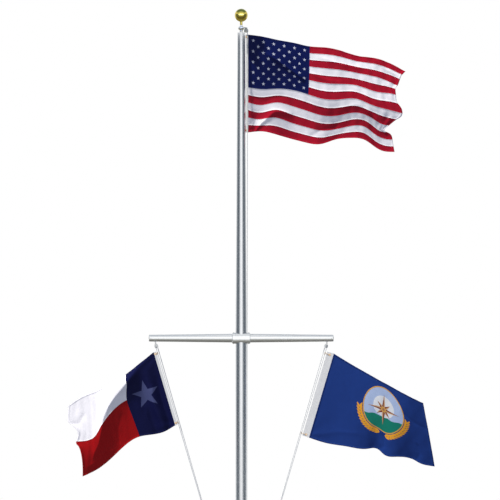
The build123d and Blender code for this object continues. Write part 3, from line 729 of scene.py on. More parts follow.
LEFT_HANG = {
    "length": 1.275,
    "outs": (0, 0.1667, 0.3333, 0.5, 0.6667, 0.8333, 1),
    "rows": (
        (0, ((0, 0), (-154, 128), (-310, 249), (-462, 335), (-622, 425), (-786, 489), (-947, 599))),
        (0.25, ((60, 204), (-137, 261), (-300, 385), (-462, 494), (-597, 609), (-721, 713), (-957, 760))),
        (0.5, ((120, 408), (-85, 469), (-296, 532), (-453, 648), (-568, 795), (-670, 950), (-855, 987))),
        (0.75, ((180, 612), (-13, 688), (-229, 733), (-393, 847), (-512, 982), (-642, 1116), (-801, 1161))),
        (1, ((241, 816), (60, 905), (-154, 940), (-328, 1047), (-458, 1170), (-612, 1292), (-786, 1378))),
    ),
    "depth_outs": (0, 0.05, 0.11, 0.17, 0.25, 0.333, 0.5, 0.667, 0.833, 1),
    "depths": (
        (0, (-16, -16, -18, -16, -12, -6, -4, -8, -14, -24)),
        (0.15, (-16, -20, -30, -38, -60, -86, -64, -46, -40, -44)),
        (0.33, (-16, -10, -34, -26, -44, -58, -84, -80, -76, -80)),
        (0.5, (-16, -2, -36, -14, -36, -48, -76, -106, -108, -112)),
        (0.75, (-16, 2, -32, -4, -28, -24, -38, -62, -106, -124)),
        (1, (-16, 6, -22, 6, -14, -8, -14, -30, -70, -66)),
    ),
    "fly": (
        (0, -947, 599), (0.15, -962, 694), (0.25, -957, 760), (0.33, -902, 815), (0.42, -840, 892),
        (0.5, -855, 987), (0.6, -832, 1036), (0.8, -788, 1205), (1, -786, 1378),
    ),
    "creases": (
        (((0.03, 0.01), (0.18, 0.07), (0.333, 0.16), (0.5, 0.33), (0.667, 0.5), (0.84, 0.72),
          (0.9, 0.9)), 15, 56),
        (((0.1, 1.0), (0.13, 0.7), (0.1, 0.4)), 12, 28),
        (((0.2, 1.0), (0.22, 0.8), (0.19, 0.6)), 7, 22),
        (((0.04, 0.99), (0.05, 0.6), (0.03, 0.3)), -8, 20),
        (((0.6, 0.95), (0.74, 0.86), (0.95, 0.9)), 8, 30),
        (((0.4, 0.62), (0.5, 0.75), (0.55, 0.95)), -6, 36),
        (((0.86, 0.2), (0.93, 0.3), (1.0, 0.3)), -9, 22),
    ),
}
RIGHT_HANG = {
    "length": 1.40,
    "outs": (0, 0.15, 0.3, 0.45, 0.55, 0.6, 0.7, 0.84, 0.89, 1),
    "rows": (
        (0, ((0, 0), (146, 89), (291, 173), (438, 255), (535, 309), (584, 334), (681, 388), (817, 459),
             (865, 483), (973, 533))),
        (0.5, ((-138, 467), (40, 543), (218, 602), (399, 655), (513, 685), (570, 717), (684, 764),
               (850, 817), (908, 841), (1045, 889))),
        (1, ((-276, 935), (-67, 999), (144, 1030), (361, 1056), (490, 1062), (550, 1114), (679, 1140),
             (880, 1172), (943, 1207), (1112, 1244))),
    ),
    "depth_outs": (0, 0.15, 0.3, 0.45, 0.55, 0.6, 0.7, 0.84, 0.89, 1),
    "depths": (
        (0, (-16, -50, -84, -135, -165, -180, -215, -285, -305, -336)),
        (0.5, (-16, -42, -80, -112, -130, -142, -178, -206, -214, -248)),
        (1, (-16, -30, -70, -78, -66, -100, -132, -116, -136, -160)),
    ),
    "fly": (),
    "creases": (
        (((0.55, 1.0), (0.6, 0.88), (0.58, 0.72)), 9, 24),
        (((0.86, 1.0), (0.9, 0.86), (0.88, 0.7)), 8, 22),
        (((0.0, 0.03), (0.18, 0.22), (0.3, 0.52)), 5, 34),
        (((0.0, 0.97), (0.2, 0.84), (0.4, 0.8)), -5, 34),
        (((0.75, 0.3), (0.88, 0.4), (1.0, 0.42)), 5, 30),
    ),
}

# Places of a drape's grid along its length and down its hoist, and the share of the
# length beyond which the fly's own line takes over
GRID_OUT, GRID_DOWN = 360, 240
FLY_FROM = 0.84

# Bands of the cloth in metres: hems, the half width of a felled seam and the strip that
# is sewn under the heading. A fold is so many times as thick as the cloth
HEM = 14 * MM
FLY_HEM = 22 * MM
SEAM = 3.5 * MM
UNDER_HEADING = 7 * MM
FOLDED = 2.2

# The canton takes a share of the length and seven of the stripes. Stars go by radius
STRIPES = 13
CANTON_SHARE = 0.4
CANTON_STRIPES = 7
UNION_SHARE = CANTON_STRIPES / STRIPES
CANTON_STAR, LONE_STAR = 22 * MM, 154 * MM


def hoist_line(flag):
    """Where a flag's cloth joins its heading: corner, way down, way out, normal and hoist."""
    joint = next(j for j in frame["joints"] if j["name"] == f"{flag}_hoist")
    down = Vector(joint["axis"]).normalized()
    x_way = Vector((-1 if flag.startswith("left") else 1, 0, 0))
    along = (x_way - down * x_way.dot(down)).normalized()
    normal = along.cross(down)
    points = np.array([tuple(v.co) for v in frame["nodes"][f"{flag}_heading"].data.vertices])
    reach, drop, side = points @ along, points @ down, points @ normal
    corner = along * reach.max() + down * drop.min() + normal * ((side.min() + side.max()) / 2)
    return corner, down, along, normal, float(drop.max() - drop.min())


def crease(out, drop, spots, height, fade):
    """A soft crease along a line of places, sharp at its crest and fading to each side."""
    apart = np.full(np.broadcast(out, drop).shape, np.inf)
    along = np.zeros_like(apart)
    for i, (first, second) in enumerate(zip(spots, spots[1:])):
        run, fall = second[0] - first[0], second[1] - first[1]
        share = ((out - first[0]) * run + (drop - first[1]) * fall) / (run * run + fall * fall)
        share = np.clip(share, 0, 1)
        reach = np.hypot(out - first[0] - share * run, drop - first[1] - share * fall)
        nearer = reach < apart
        apart = np.where(nearer, reach, apart)
        along = np.where(nearer, (i + share) / (len(spots) - 1), along)
    crest, heading_ease = 4 * MM, 40 * MM
    profile = np.exp(-(np.hypot(apart, crest) - crest) / fade)
    # It dies out over the last part of its line at both ends
    ends = np.clip(np.sin(np.pi * np.clip(along * 0.96 + 0.02, 0, 1)) * 2.2, 0, 1)
    return height * profile * ends * np.clip(out / heading_ease, 0, 1)


def ripples(out, drop, length, hoist, strength):
    """Small tension folds that run from the two grommets, and a flutter towards the fly."""
    grommet_back, pull, rays, heading_ease = 0.03, 0.34, 9, 0.05
    wave = np.zeros(np.broadcast(out, drop).shape)
    for level, way in ((0.02, 1), (0.98, -1)):
        dx, dy = out + grommet_back, (drop / hoist - level) * way * hoist
        folds = np.exp(-np.hypot(dx, dy) / pull) * np.sin(rays * np.arctan2(dy, dx))
        wave += strength * folds * np.clip(out / heading_ease, 0, 1)
    share = np.clip(out / length, 0, 1)
    # Each flutter runs aslant, with its wave lengths out and down in metres
    broad = np.sin(2 * np.pi * (out / 0.155 + drop / 0.61)) * np.sin(2 * np.pi * drop / 0.43 + 1)
    fine = np.sin(2 * np.pi * (out / 0.093 - drop / 0.37) + 2)
    return wave + strength * share * (0.9 * broad + 0.5 * fine)


class Drape:
    """A flag's middle surface in the wind, read by distance out and down in metres."""

    def __init__(self, flag, hang, ripple_height):
        self.corner, self.down, self.along, _, self.hoist = hoist_line(flag)
        self.length = hang["length"]
        u, v = np.linspace(0, 1, GRID_OUT), np.linspace(0, 1, GRID_DOWN)
        rows = np.array([places for _, places in hang["rows"]], float) * MM
        shares = np.array([share for share, _ in hang["rows"]])
        rows[:, 0, 0] = self.down.x * self.hoist * shares
        rows[:, 0, 1] = -self.down.z * self.hoist * shares
        lines = natural_spline(hang["outs"], rows.transpose(1, 0, 2), u)
        flat = natural_spline(shares, lines.transpose(1, 0, 2), v)
        depths = np.array([values for _, values in hang["depths"]], float) * MM
        shares = np.array([share for share, _ in hang["depths"]])
        depths[:, 0] = self.corner.y + self.down.y * self.hoist * shares
        deep = natural_spline(hang["depth_outs"], depths.T, u)
        deep = natural_spline(shares, deep.T, v)
        if hang["fly"]:
            fly = np.array(hang["fly"], float)
            edge = natural_spline(fly[:, 0], fly[:, 1:] * MM, v)
            share = np.clip((u - FLY_FROM) / (1 - FLY_FROM), 0, 1)
            share = share * share * (3 - 2 * share)
            flat = flat + share[None, :, None] * (edge - flat[:, -1])[:, None, :]
        across, up = self.corner.x + flat[..., 0], self.corner.z - flat[..., 1]
        self.points = np.stack([across, deep, up], axis=-1)
        self.normals = self.find_normals()
        out, drop = u[None, :] * self.length, v[:, None] * self.hoist
        lift = ripples(out, drop, self.length, self.hoist, ripple_height)
        for line, height, fade in hang["creases"]:
            spots = [(share_out * self.length, share_down * self.hoist) for share_out, share_down in line]
            lift = lift + crease(out, drop, spots, height * MM, fade * MM)
        self.points = self.points + self.normals * lift[..., None]
        self.normals = self.find_normals()

    def find_normals(self):
        """Unit normals of the grid."""
        normal = np.cross(np.gradient(self.points, axis=1), np.gradient(self.points, axis=0))
        return normal / np.linalg.norm(normal, axis=-1)[..., None]

    def lay(self, out, drop, lift):
        """Places on the surface at distances out and down, lifted off it along its normal."""
        out, drop = np.asarray(out, float), np.asarray(drop, float)
        x = np.clip(out / self.length, 0, 1) * (GRID_OUT - 1)
        y = np.clip(drop / self.hoist, 0, 1) * (GRID_DOWN - 1)
        i = np.minimum(x.astype(int), GRID_OUT - 2)
        j = np.minimum(y.astype(int), GRID_DOWN - 2)
        a, b = (x - i)[..., None], (y - j)[..., None]

        def read(grid):
            upper = grid[j, i] * (1 - a) + grid[j, i + 1] * a
            lower = grid[j + 1, i] * (1 - a) + grid[j + 1, i + 1] * a
            return upper * (1 - b) + lower * b

        tab = np.minimum(out, 0)[..., None] * np.array(self.along)
        return read(self.points) + tab + read(self.normals) * np.asarray(lift)[..., None]


def mesh_lines(total, step, folds):
    """Even distances from nought to total, with a pair of lines at each edge of each fold."""
    clear, pair = step * 0.4, 0.4 * MM
    lines = list(np.linspace(0, total, max(2, round(total / step))))
    for start, end, *_ in folds:
        lines = [x for x in lines if not start - clear < x < end + clear or x in (0, total)]
        for edge in (start, end):
            lines += [max(0, edge - pair), min(total, edge + pair)]
    return np.unique(np.round(lines, 6))


def cloth_shell(name, drape, out_seams, drop_seams):
    """Closed cloth of real thickness whose hems and felled seams are thicker bands.

    A seam is where its band starts and ends, and between which lines across it runs.
    Every cloth has a hem above, below and at its fly.
    """
    flags = bpy.context.scene.pole_flags
    length, hoist, half = drape.length, drape.hoist, flags.cloth_half
    out_folds = [*out_seams, (length - FLY_HEM, length, 0, hoist)]
    drop_folds = [(0, HEM, 0, length), (hoist - HEM, hoist, 0, length), *drop_seams]
    outs = np.concatenate(([-UNDER_HEADING], mesh_lines(length, flags.mesh_step, out_folds)))
    drops = mesh_lines(hoist, flags.mesh_step, drop_folds)
    out, drop = np.meshgrid(outs, drops)
    thick = np.full(out.shape, half)
    for grid, other, folds in ((out, drop, out_folds), (drop, out, drop_folds)):
        for start, end, low, high in folds:
            thick[(grid > start) & (grid < end) & (other >= low) & (other <= high)] = half * FOLDED
    front = drape.lay(out, drop, thick)
    back = drape.lay(out, drop, -thick)
    rows, columns = out.shape
    size = rows * columns
    faces, uvs = [], []
    spot = np.stack([out / length, drop / hoist], axis=-1).reshape(-1, 2)

    def quad(*corners):
        faces.append(corners)
        uvs.extend(spot[c % size] for c in corners)

    for r in range(rows - 1):
        for c in range(columns - 1):
            a, b = r * columns + c, r * columns + c + 1
            d, e = a + columns, b + columns
            quad(a, b, e, d)
            quad(a + size, d + size, e + size, b + size)
    for c in range(columns - 1):
        top, low = c, (rows - 1) * columns + c
        quad(top, top + size, top + 1 + size, top + 1)
        quad(low, low + 1, low + 1 + size, low + size)
    for r in range(rows - 1):
        near, far = r * columns, r * columns + columns - 1
        quad(near, near + columns, near + columns + size, near + size)
        quad(far, far + size, far + columns + size, far + columns)
    obj = mesh_object(name, np.concatenate((front.reshape(-1, 3), back.reshape(-1, 3))), faces)
    layer = obj.data.uv_layers.new(name="cloth")
    layer.data.foreach_set("uv", np.array(uvs, np.float32).ravel())
    obj.data.shade_smooth()
    return obj


def flat_shapes(polygons, cut):
    """Points, triangles and rim edges of flat outlines, cut into strips that can bend."""
    shape = bmesh.new()
    for outline in polygons:
        shape.faces.new([shape.verts.new((x, y, 0)) for x, y in outline])
    bmesh.ops.remove_doubles(shape, verts=shape.verts, dist=1e-6)
    bmesh.ops.recalc_face_normals(shape, faces=shape.faces)
    if cut:
        spans = [[v.co[axis] for v in shape.verts] for axis in (0, 1)]
        for axis, values in enumerate(spans):
            for at in np.arange(min(values) + cut / 2, max(values), cut):
                point, normal = Vector((0, 0, 0)), Vector((0, 0, 0))
                point[axis], normal[axis] = at, 1
                everything = shape.verts[:] + shape.edges[:] + shape.faces[:]
                bmesh.ops.bisect_plane(shape, geom=everything, plane_co=point, plane_no=normal)
    bmesh.ops.triangulate(shape, faces=shape.faces)
    shape.verts.index_update()
    flat = np.array([tuple(v.co)[:2] for v in shape.verts])
    faces = [[v.index for v in f.verts] for f in shape.faces]
    rims = [[v.index for v in e.verts] for e in shape.edges if len(e.link_faces) == 1]
    shape.free()
    return flat, faces, rims


def applique(name, drape, polygons, lift, cut=None):
    """Thin shapes sewn on both faces of a cloth: flat outlines in metres, laid on it.

    They reach from inside the cloth to lift times its half thickness from its middle.
    """
    half = bpy.context.scene.pole_flags.cloth_half
    flat, faces, rims = flat_shapes(polygons, cut)
    count = len(flat)
    points, made = [], []
    for base, side in ((0, half), (2 * count, -half)):
        points.append(drape.lay(flat[:, 0], flat[:, 1], np.full(count, side * lift)))
        points.append(drape.lay(flat[:, 0], flat[:, 1], np.full(count, side * 0.5)))
        for face in faces:
            made.append([base + i for i in face])
            made.append([base + count + i for i in reversed(face)])
        for a, b in rims:
            made.append([base + a, base + b, base + count + b, base + count + a])
    obj = mesh_object(name, np.concatenate(points), made)
    spot = flat / np.array([drape.length, drape.hoist])
    layer = obj.data.uv_layers.new(name="cloth")
    for polygon in obj.data.polygons:
        for loop in polygon.loop_indices:
            layer.data[loop].uv = spot[obj.data.loops[loop].vertex_index % count]
    only(obj)
    bpy.ops.object.mode_set(mode="EDIT")
    bpy.ops.mesh.select_all(action="SELECT")
    bpy.ops.mesh.normals_make_consistent(inside=False)
    bpy.ops.object.mode_set(mode="OBJECT")
    bpy.ops.object.shade_smooth_by_angle(angle=math.radians(40))
    return obj


def star_outline(x, y, radius):
    """Corners of a five-pointed star with one point up the hoist."""
    inner = radius * 0.382
    corners = []
    for i in range(10):
        reach, turn = inner if i % 2 else radius, math.pi * i / 5
        corners.append((x + reach * math.sin(turn), y - reach * math.cos(turn)))
    return corners


def woven_waves(tree, places, counts):
    """Threads that cross: waves along two coordinates, so many to a unit of each."""
    waves = []
    for place, count in zip(places, counts):
        run = add_node(tree, "Math", {"operation": "MULTIPLY"}, {0: place, 1: 2 * math.pi * count})
        waves.append(add_node(tree, "Math", {"operation": "SINE"}, {0: run}))
    return add_node(tree, "Math", {"operation": "MULTIPLY"}, {0: waves[0], 1: waves[1]})


def nylon(name, drape, paint):
    """Woven flag nylon, matt with a soft sheen: threads, wrinkles, mottling and its pattern.

    paint gets the tree and the shares out and down, and gives the colour socket and
    the height of its seams.
    """
    material, tree, shader = blank_material(name)
    lay = add_node(tree, "UVMap", {"uv_map": "cloth"})
    parts = add_node(tree, "SeparateXYZ", inputs={0: lay})
    out, drop = parts.outputs[0], parts.outputs[1]
    colour, seams = paint(tree, out, drop)
    # Threads are about 0.4 mm apart, drawn at 1.6 mm so that the weave shows
    thread = 1.6 * MM
    weave = woven_waves(tree, (out, drop), (drape.length / thread, drape.hoist / thread))
    # Wrinkles are about 38 mm wide and patches of the mottling about 110 mm
    sized = add_node(tree, "VectorMath", {"operation": "MULTIPLY"},
                     {0: lay, 1: (drape.length, drape.hoist, 1)})
    wrinkles = add_node(tree, "TexNoise", inputs={
        "Vector": sized, "Scale": 26.0, "Detail": 4.0, "Roughness": 0.55, "Distortion": 0.6})
    mottle = add_node(tree, "TexNoise", inputs={"Vector": sized, "Scale": 9.0, "Detail": 3.0})
    tone = add_node(tree, "MapRange", inputs={"Value": mottle, "To Min": 0.93, "To Max": 1.05})
    height = wrinkles
    for relief, share in ((weave, 0.05), (seams, 0.35)):
        height = add_node(tree, "Math", {"operation": "MULTIPLY_ADD"},
                          {0: relief, 1: share, 2: height})
    finish_surface(tree, shader, colour, tone, height, 0.55, 3 * MM)
    shader.inputs["Roughness"].default_value = 0.7
    shader.inputs["Specular IOR Level"].default_value = 0.08
    return material


def stitched_band(tree, share, at, half_width):
    """A mask, one in a narrow band about a share and nought outside it."""
    apart = add_node(tree, "Math", {"operation": "SUBTRACT"}, {0: share, 1: at})
    apart = add_node(tree, "Math", {"operation": "ABSOLUTE"}, {0: apart})
    return add_node(tree, "Math", {"operation": "LESS_THAN"}, {0: apart, 1: half_width})


def embroidery(name, colour, drape):
    """Satin-stitched thread: close glossy lines side by side, a little aslant, with shade painted in the
    grooves between them.

    Threads are about 0.4 mm apart, drawn at 2.2 mm so that they show.
    """
    material, tree, shader = blank_material(name)
    lay = add_node(tree, "UVMap", {"uv_map": "cloth"})
    parts = add_node(tree, "SeparateXYZ", inputs={0: lay})
    slant, lines = 1.4, 2 * math.pi / (2.2 * MM)
    across = add_node(tree, "Math", {"operation": "MULTIPLY"}, {0: parts.outputs[0], 1: drape.length})
    slanted = add_node(tree, "Math", {"operation": "MULTIPLY_ADD"},
                       {0: parts.outputs[1], 1: drape.hoist * slant, 2: across})
    run = add_node(tree, "Math", {"operation": "MULTIPLY"}, {0: slanted, 1: lines})
    line = add_node(tree, "Math", {"operation": "SINE"}, {0: run})
    # Painted shade: darker in the grooves between the stitch lines and a little lighter on their crests
    tone = add_node(tree, "MapRange", inputs={
        "Value": line, "From Min": -1.0, "To Min": 0.86, "To Max": 1.04})
    finish_surface(tree, shader, colour, tone, line, 0.3, 0.4 * MM)
    shader.inputs["Roughness"].default_value = 0.5
    shader.inputs["Specular IOR Level"].default_value = 0.12
    return material


def canton_stars(canton, union):
    """The fifty stars, in rows of six and five by turns."""
    stars = []
    for row in range(9):
        for column in range(1 + row % 2, 12, 2):
            stars.append(star_outline(canton * column / 12, union * (row + 1) / 10, CANTON_STAR))
    return stars


def paint_stripes(tree, out, drop):
    """Colour and seams of the thirteen stripes with their canton."""
    flags = bpy.context.scene.pole_flags
    stripe = add_node(tree, "Math", {"operation": "MULTIPLY"}, {0: drop, 1: STRIPES})
    whole = add_node(tree, "Math", {"operation": "FLOOR"}, {0: stripe})
    odd = add_node(tree, "Math", {"operation": "PINGPONG"}, {0: whole, 1: 1.0})
    field = add_node(tree, "Mix", {"data_type": "RGBA"}, {"Factor": odd, "A": flags.red, "B": flags.white})
    near = add_node(tree, "Math", {"operation": "LESS_THAN"}, {0: out, 1: CANTON_SHARE})
    high = add_node(tree, "Math", {"operation": "LESS_THAN"}, {0: drop, 1: UNION_SHARE})
    inside = add_node(tree, "Math", {"operation": "MULTIPLY"}, {0: near, 1: high})
    colour = add_node(tree, "Mix", {"data_type": "RGBA"},
                      {"Factor": inside, "A": field.outputs["Result"], "B": flags.navy})
    # A seam a few millimetres wide shows along the top of each stripe
    part = add_node(tree, "Math", {"operation": "FRACT"}, {0: stripe})
    seam = stitched_band(tree, part, 0.0, 0.03)
    open_field = add_node(tree, "Math", {"operation": "SUBTRACT"}, {0: 1.0, 1: inside})
    seam = add_node(tree, "Math", {"operation": "MULTIPLY"}, {0: seam, 1: open_field})
    return colour.outputs["Result"], seam


class FLAGPOLE_OT_striped_flag(bpy.types.Operator):
    """Make the stars-and-stripes flag with its sewn stripes, canton and stars"""

    bl_idname = "flagpole.striped_flag"
    bl_label = "Striped flag"

    def execute(self, context):
        drape = Drape("main_flag", MAIN_HANG, 3.0 * MM)
        length, hoist = drape.length, drape.hoist
        canton = CANTON_SHARE * length
        union = UNION_SHARE * hoist
        seams = []
        for k in range(1, STRIPES):
            seam = k * hoist / STRIPES
            seams.append((seam - SEAM, seam + SEAM, canton if k < CANTON_STRIPES else 0, length))
        cloth = cloth_shell("main_flag_nylon", drape, [(canton - SEAM, canton + SEAM, 0, union)], seams)
        finish = nylon("woven_nylon_striped", drape, paint_stripes)
        settle(cloth, "main_flag_nylon", "main_flag", finish)
        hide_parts("main_flag_cloth")
        sewn = applique("main_flag_stars", drape, canton_stars(canton, union), lift=2.2)
        thread = embroidery("embroidered_stars", context.scene.pole_flags.star_white, drape)
        settle(sewn, "main_flag_stars", "main_flag", thread)
        return {"FINISHED"}


def paint_lone_star(tree, out, drop):
    """Colour and seam of the blue upright field and the white and red bands."""
    flags = bpy.context.scene.pole_flags
    low = add_node(tree, "Math", {"operation": "GREATER_THAN"}, {0: drop, 1: 0.5})
    bands = add_node(tree, "Mix", {"data_type": "RGBA"},
                     {"Factor": low, "A": flags.white, "B": flags.deep_red})
    near = add_node(tree, "Math", {"operation": "LESS_THAN"}, {0: out, 1: 1 / 3})
    colour = add_node(tree, "Mix", {"data_type": "RGBA"},
                      {"Factor": near, "A": bands.outputs["Result"], "B": flags.deep_blue})
    return colour.outputs["Result"], stitched_band(tree, out, 1 / 3, SEAM / LEFT_HANG["length"])


class FLAGPOLE_OT_lone_star_flag(bpy.types.Operator):
    """Make the lone-star flag of blue, white and red nylon"""

    bl_idname = "flagpole.lone_star_flag"
    bl_label = "Lone-star flag"

    def execute(self, context):
        drape = Drape("left_flag", LEFT_HANG, 2.4 * MM)
        length, hoist = drape.length, drape.hoist
        field = length / 3
        cloth = cloth_shell("left_flag_nylon", drape, [(field - SEAM, field + SEAM, 0, hoist)],
                            [(hoist / 2 - SEAM, hoist / 2 + SEAM, field, length)])
        finish = nylon("woven_nylon_lone_star", drape, paint_lone_star)
        settle(cloth, "left_flag_nylon", "left_flag", finish)
        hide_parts("left_flag_cloth")
        outline = star_outline(field / 2, hoist / 2, LONE_STAR)
        star = applique("left_flag_star", drape, [outline], lift=2.2, cut=12 * MM)
        # The lone star's thread takes the painted shade colour of a white star
        thread = embroidery("sewn_lone_star_painted_shade", context.scene.pole_flags.shaded_white_star, drape)
        settle(star, "left_flag_star", "left_flag", thread)
        return {"FINISHED"}


# The medallion in metres: radii of the oval, the moon, the compass rose's points, waist
# and hub, and the leaves. The horizon is a share of the oval's height, the place one of
# the flag's length and hoist, and a leaf's points shares of its length and half width
OVAL_X, OVAL_Y = 0.272, 0.30
HORIZON = 0.34
MOON_RADIUS, MOON_UP = 0.145, 0.04
ROSE_LONG, ROSE_SHORT, ROSE_WAIST, ROSE_HUB = 0.215, 0.125, 0.052, 0.034
LEAVES, LEAF_LENGTH, LEAF_WIDTH = 13, 0.072, 0.025
MEDALLION_PLACE = (0.575, 0.388)
LEAF_POINTS = (
    (0, 0), (0.25, 0.8), (0.5, 1), (0.75, 0.7), (1, 0), (0.75, -0.7), (0.5, -1), (0.25, -0.8),
)


def on_oval(x, y, a, b, turn):
    """A place on an oval with radii a and b."""
    return x + a * math.cos(turn), y + b * math.sin(turn)


def oval(x, y, a, b, count):
    """Corners of an oval."""
    return [on_oval(x, y, a, b, 2 * math.pi * i / count) for i in range(count)]


def oval_ring(x, y, a, b, inner, count):
    """Quads of an oval ring. inner is the share of its radii where it starts."""
    outside = oval(x, y, a, b, count)
    inside = oval(x, y, a * inner, b * inner, count)
    return [[outside[i - 1], outside[i], inside[i], inside[i - 1]] for i in range(count)]


def ground_outline(x, y):
    """The medallion's lower part under a wavy horizon."""
    start = math.asin(HORIZON)
    corners = [on_oval(x, y, OVAL_X, OVAL_Y, start + (math.pi - 2 * start) * i / 36) for i in range(37)]
    right, left = corners[0][0], corners[-1][0]
    for i in range(1, 24):
        crest = 7 * MM * math.sin(6 * math.pi * i / 24)
        corners.append((left + i / 24 * (right - left), y + OVAL_Y * HORIZON + crest))
    return corners


def compass_rose(x, y, side):
    """Half of each of the rose's eight points: the light side or the dark one."""
    halves = []
    for i in range(8):
        turn = math.pi * i / 4
        reach = ROSE_SHORT if i % 2 else ROSE_LONG
        waist = turn + side * math.pi / 8
        halves.append([(x, y), (x + reach * math.sin(turn), y - reach * math.cos(turn)),
                       (x + ROSE_WAIST * math.sin(waist), y - ROSE_WAIST * math.cos(waist))])
    return halves


def leaf_outline(x, y, turn):
    """A pointed leaf that starts at a point and runs out at an angle."""
    corners = []
    for share, side in LEAF_POINTS:
        spot = Matrix.Rotation(turn, 2) @ Vector((share * LEAF_LENGTH, side * LEAF_WIDTH / 2))
        corners.append((x + spot.x, y + spot.y))
    return corners


def leaf_sprays(x, y):
    """Two sprays that climb round the oval from its foot, a pair of leaves at each step."""
    first, step, lean = 0.10, 0.105, 0.5
    leaves = []
    for side in (1, -1):
        for i in range(LEAVES):
            turn = math.pi / 2 + side * (first + i * step)
            foot = on_oval(x, y, 1.17 * OVAL_X, 1.15 * OVAL_Y, turn)
            for tilt in (lean, -lean):
                leaves.append(leaf_outline(*foot, turn + side * (math.pi / 2 - tilt)))
    return leaves


def medallion(x, y):
    """The medallion's layers: name, outlines, how high it lies and its thread's colour."""
    rim = oval_ring(x, y, OVAL_X * 1.035, OVAL_Y * 1.032, 0.955, 72)
    return (
        ("sky", [oval(x, y, OVAL_X, OVAL_Y, 72)], 1.6, "#A9BBDC"),
        ("ground", [ground_outline(x, y)], 2.0, "#127A66"),
        ("moon", [oval(x, y - MOON_UP, MOON_RADIUS, MOON_RADIUS, 48)], 2.4, "#DDE0E4"),
        ("rose_dark", compass_rose(x, y, -1), 2.9, "#7E3A26"),
        ("rose_light", compass_rose(x, y, 1), 2.9, "#C9A27C"),
        ("rim", rim, 2.9, "#D9A24A"),
        ("hub", oval_ring(x, y, ROSE_HUB, ROSE_HUB, 0.55, 32), 3.4, "#D9A24A"),
        ("sprays", leaf_sprays(x, y), 2.2, "#E9A22B"),
    )


def paint_royal(tree, out, drop):
    """Colour and hems of the plain blue field."""
    flags = bpy.context.scene.pole_flags
    hoist, length = hoist_line("right_flag")[4], RIGHT_HANG["length"]
    edge = stitched_band(tree, drop, 0.0, HEM / hoist)
    for hem in (stitched_band(tree, drop, 1.0, HEM / hoist), stitched_band(tree, out, 0.0, HEM / length)):
        edge = add_node(tree, "Math", {"operation": "MAXIMUM"}, {0: edge, 1: hem})
    # Painted shade: three layers of nylon in a hem let less light through, so the hem is painted darker
    colour = add_node(tree, "Mix", {"data_type": "RGBA"},
                      {"Factor": edge, "A": flags.royal, "B": linear("#172D68")})
    return colour.outputs["Result"], edge


class FLAGPOLE_OT_royal_flag(bpy.types.Operator):
    """Make the royal-blue flag with its oval medallion and gold sprays"""

    bl_idname = "flagpole.royal_flag"
    bl_label = "Royal-blue flag"

    def execute(self, context):
        drape = Drape("right_flag", RIGHT_HANG, 1.6 * MM)
        length, hoist = drape.length, drape.hoist
        cloth = cloth_shell("right_flag_nylon", drape, [(0, HEM, 0, hoist)], [])
        finish = nylon("woven_nylon_royal", drape, paint_royal)
        settle(cloth, "right_flag_nylon", "right_flag", finish)
        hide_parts("right_flag_cloth")
        x, y = MEDALLION_PLACE[0] * length, MEDALLION_PLACE[1] * hoist
        for word, polygons, lift, code in medallion(x, y):
            piece = applique(f"right_flag_{word}", drape, polygons, lift, cut=16 * MM)
            thread = embroidery(f"embroidered_{word}", linear(code), drape)
            settle(piece, f"right_flag_{word}", "right_flag", thread)
        return {"FINISHED"}


# Canvas headings

# A stitch's points are in half threads along, half stitches down and heights
STITCH_POINTS = (
    (0, -1, 0), (1, -0.6, 0), (1, 0.6, 0), (0, 1, 0), (-1, 0.6, 0), (-1, -0.6, 0),
    (0, -0.5, 1), (0, 0.5, 1),
)
STITCH_FACES = (
    (0, 1, 6), (1, 2, 7, 6), (2, 3, 7), (3, 4, 7), (4, 5, 6, 7), (5, 0, 6), (5, 4, 3, 2, 1, 0),
)
STITCH_PITCH, STITCH_END = 7 * MM, 5 * MM
HALF_THREAD, HALF_STITCH, STITCH_HEIGHT, STITCH_SUNK = 0.45 * MM, 2.2 * MM, 0.4 * MM, 0.1 * MM
# Rows of stitches lie in from the heading's edges, one at the cloth, two at the halyard
EDGE_ROW, SECOND_ROW = 3.5 * MM, 6.5 * MM
# How far the halyard runs from a heading, how far a snap is from its end, and how far
# above and below a snap its stop collars sit
LEADS = {"main_flag": 10.5 * MM, "left_flag": 10.5 * MM, "right_flag": 18 * MM}
SNAP_LEVEL, STOP_OFF = 25 * MM, 11 * MM


def canvas():
    """Plain-woven cotton and polyester canvas: matt, off-white, a little soiled.

    Its threads are about 0.7 mm, drawn at 2 mm so that the weave shows. Soil lies in
    patches about 70 mm wide.
    """
    material, tree, shader = blank_material("woven_canvas")
    place = add_node(tree, "TexCoord").outputs["Object"]
    parts = add_node(tree, "SeparateXYZ", inputs={0: place})
    threads = 1 / (2.0 * MM)
    weave = woven_waves(tree, (parts.outputs[0], parts.outputs[2]), (threads, threads))
    soil = add_node(tree, "TexNoise", inputs={"Vector": place, "Scale": 14.0, "Detail": 4.0})
    tone = add_node(tree, "MapRange", inputs={"Value": soil, "To Min": 0.88, "To Max": 1.03})
    finish_surface(tree, shader, linear("#F3F3F0"), tone, weave, 0.4, 0.5 * MM)
    shader.inputs["Roughness"].default_value = 0.85
    shader.inputs["Specular IOR Level"].default_value = 0.15
    return material


def heading_strip(flag):
    """A flag's heading with clean faces and softly folded edges."""
    strip = new_object(f"{flag}_canvas", frame["nodes"][f"{flag}_heading"].data.copy())
    only(strip)
    bpy.ops.object.mode_set(mode="EDIT")
    bpy.ops.mesh.select_all(action="SELECT")
    bpy.ops.mesh.remove_doubles(threshold=1e-5)
    bpy.ops.mesh.dissolve_limited(angle_limit=math.radians(2))
    bpy.ops.object.mode_set(mode="OBJECT")
    folded = strip.modifiers.new("folded edges", "BEVEL")
    folded.width = 0.9 * MM
    folded.segments = 2
    folded.limit_method = "ANGLE"
    bpy.ops.object.modifier_apply(modifier=folded.name)
    return strip


def heading_size(flag):
    """Width and half thickness of a flag's heading."""
    _, _, along, normal, _ = hoist_line(flag)
    points = np.array([tuple(v.co) for v in frame["nodes"][f"{flag}_heading"].data.vertices])
    return float(np.ptp(points @ along)), float(np.ptp(points @ normal)) / 2


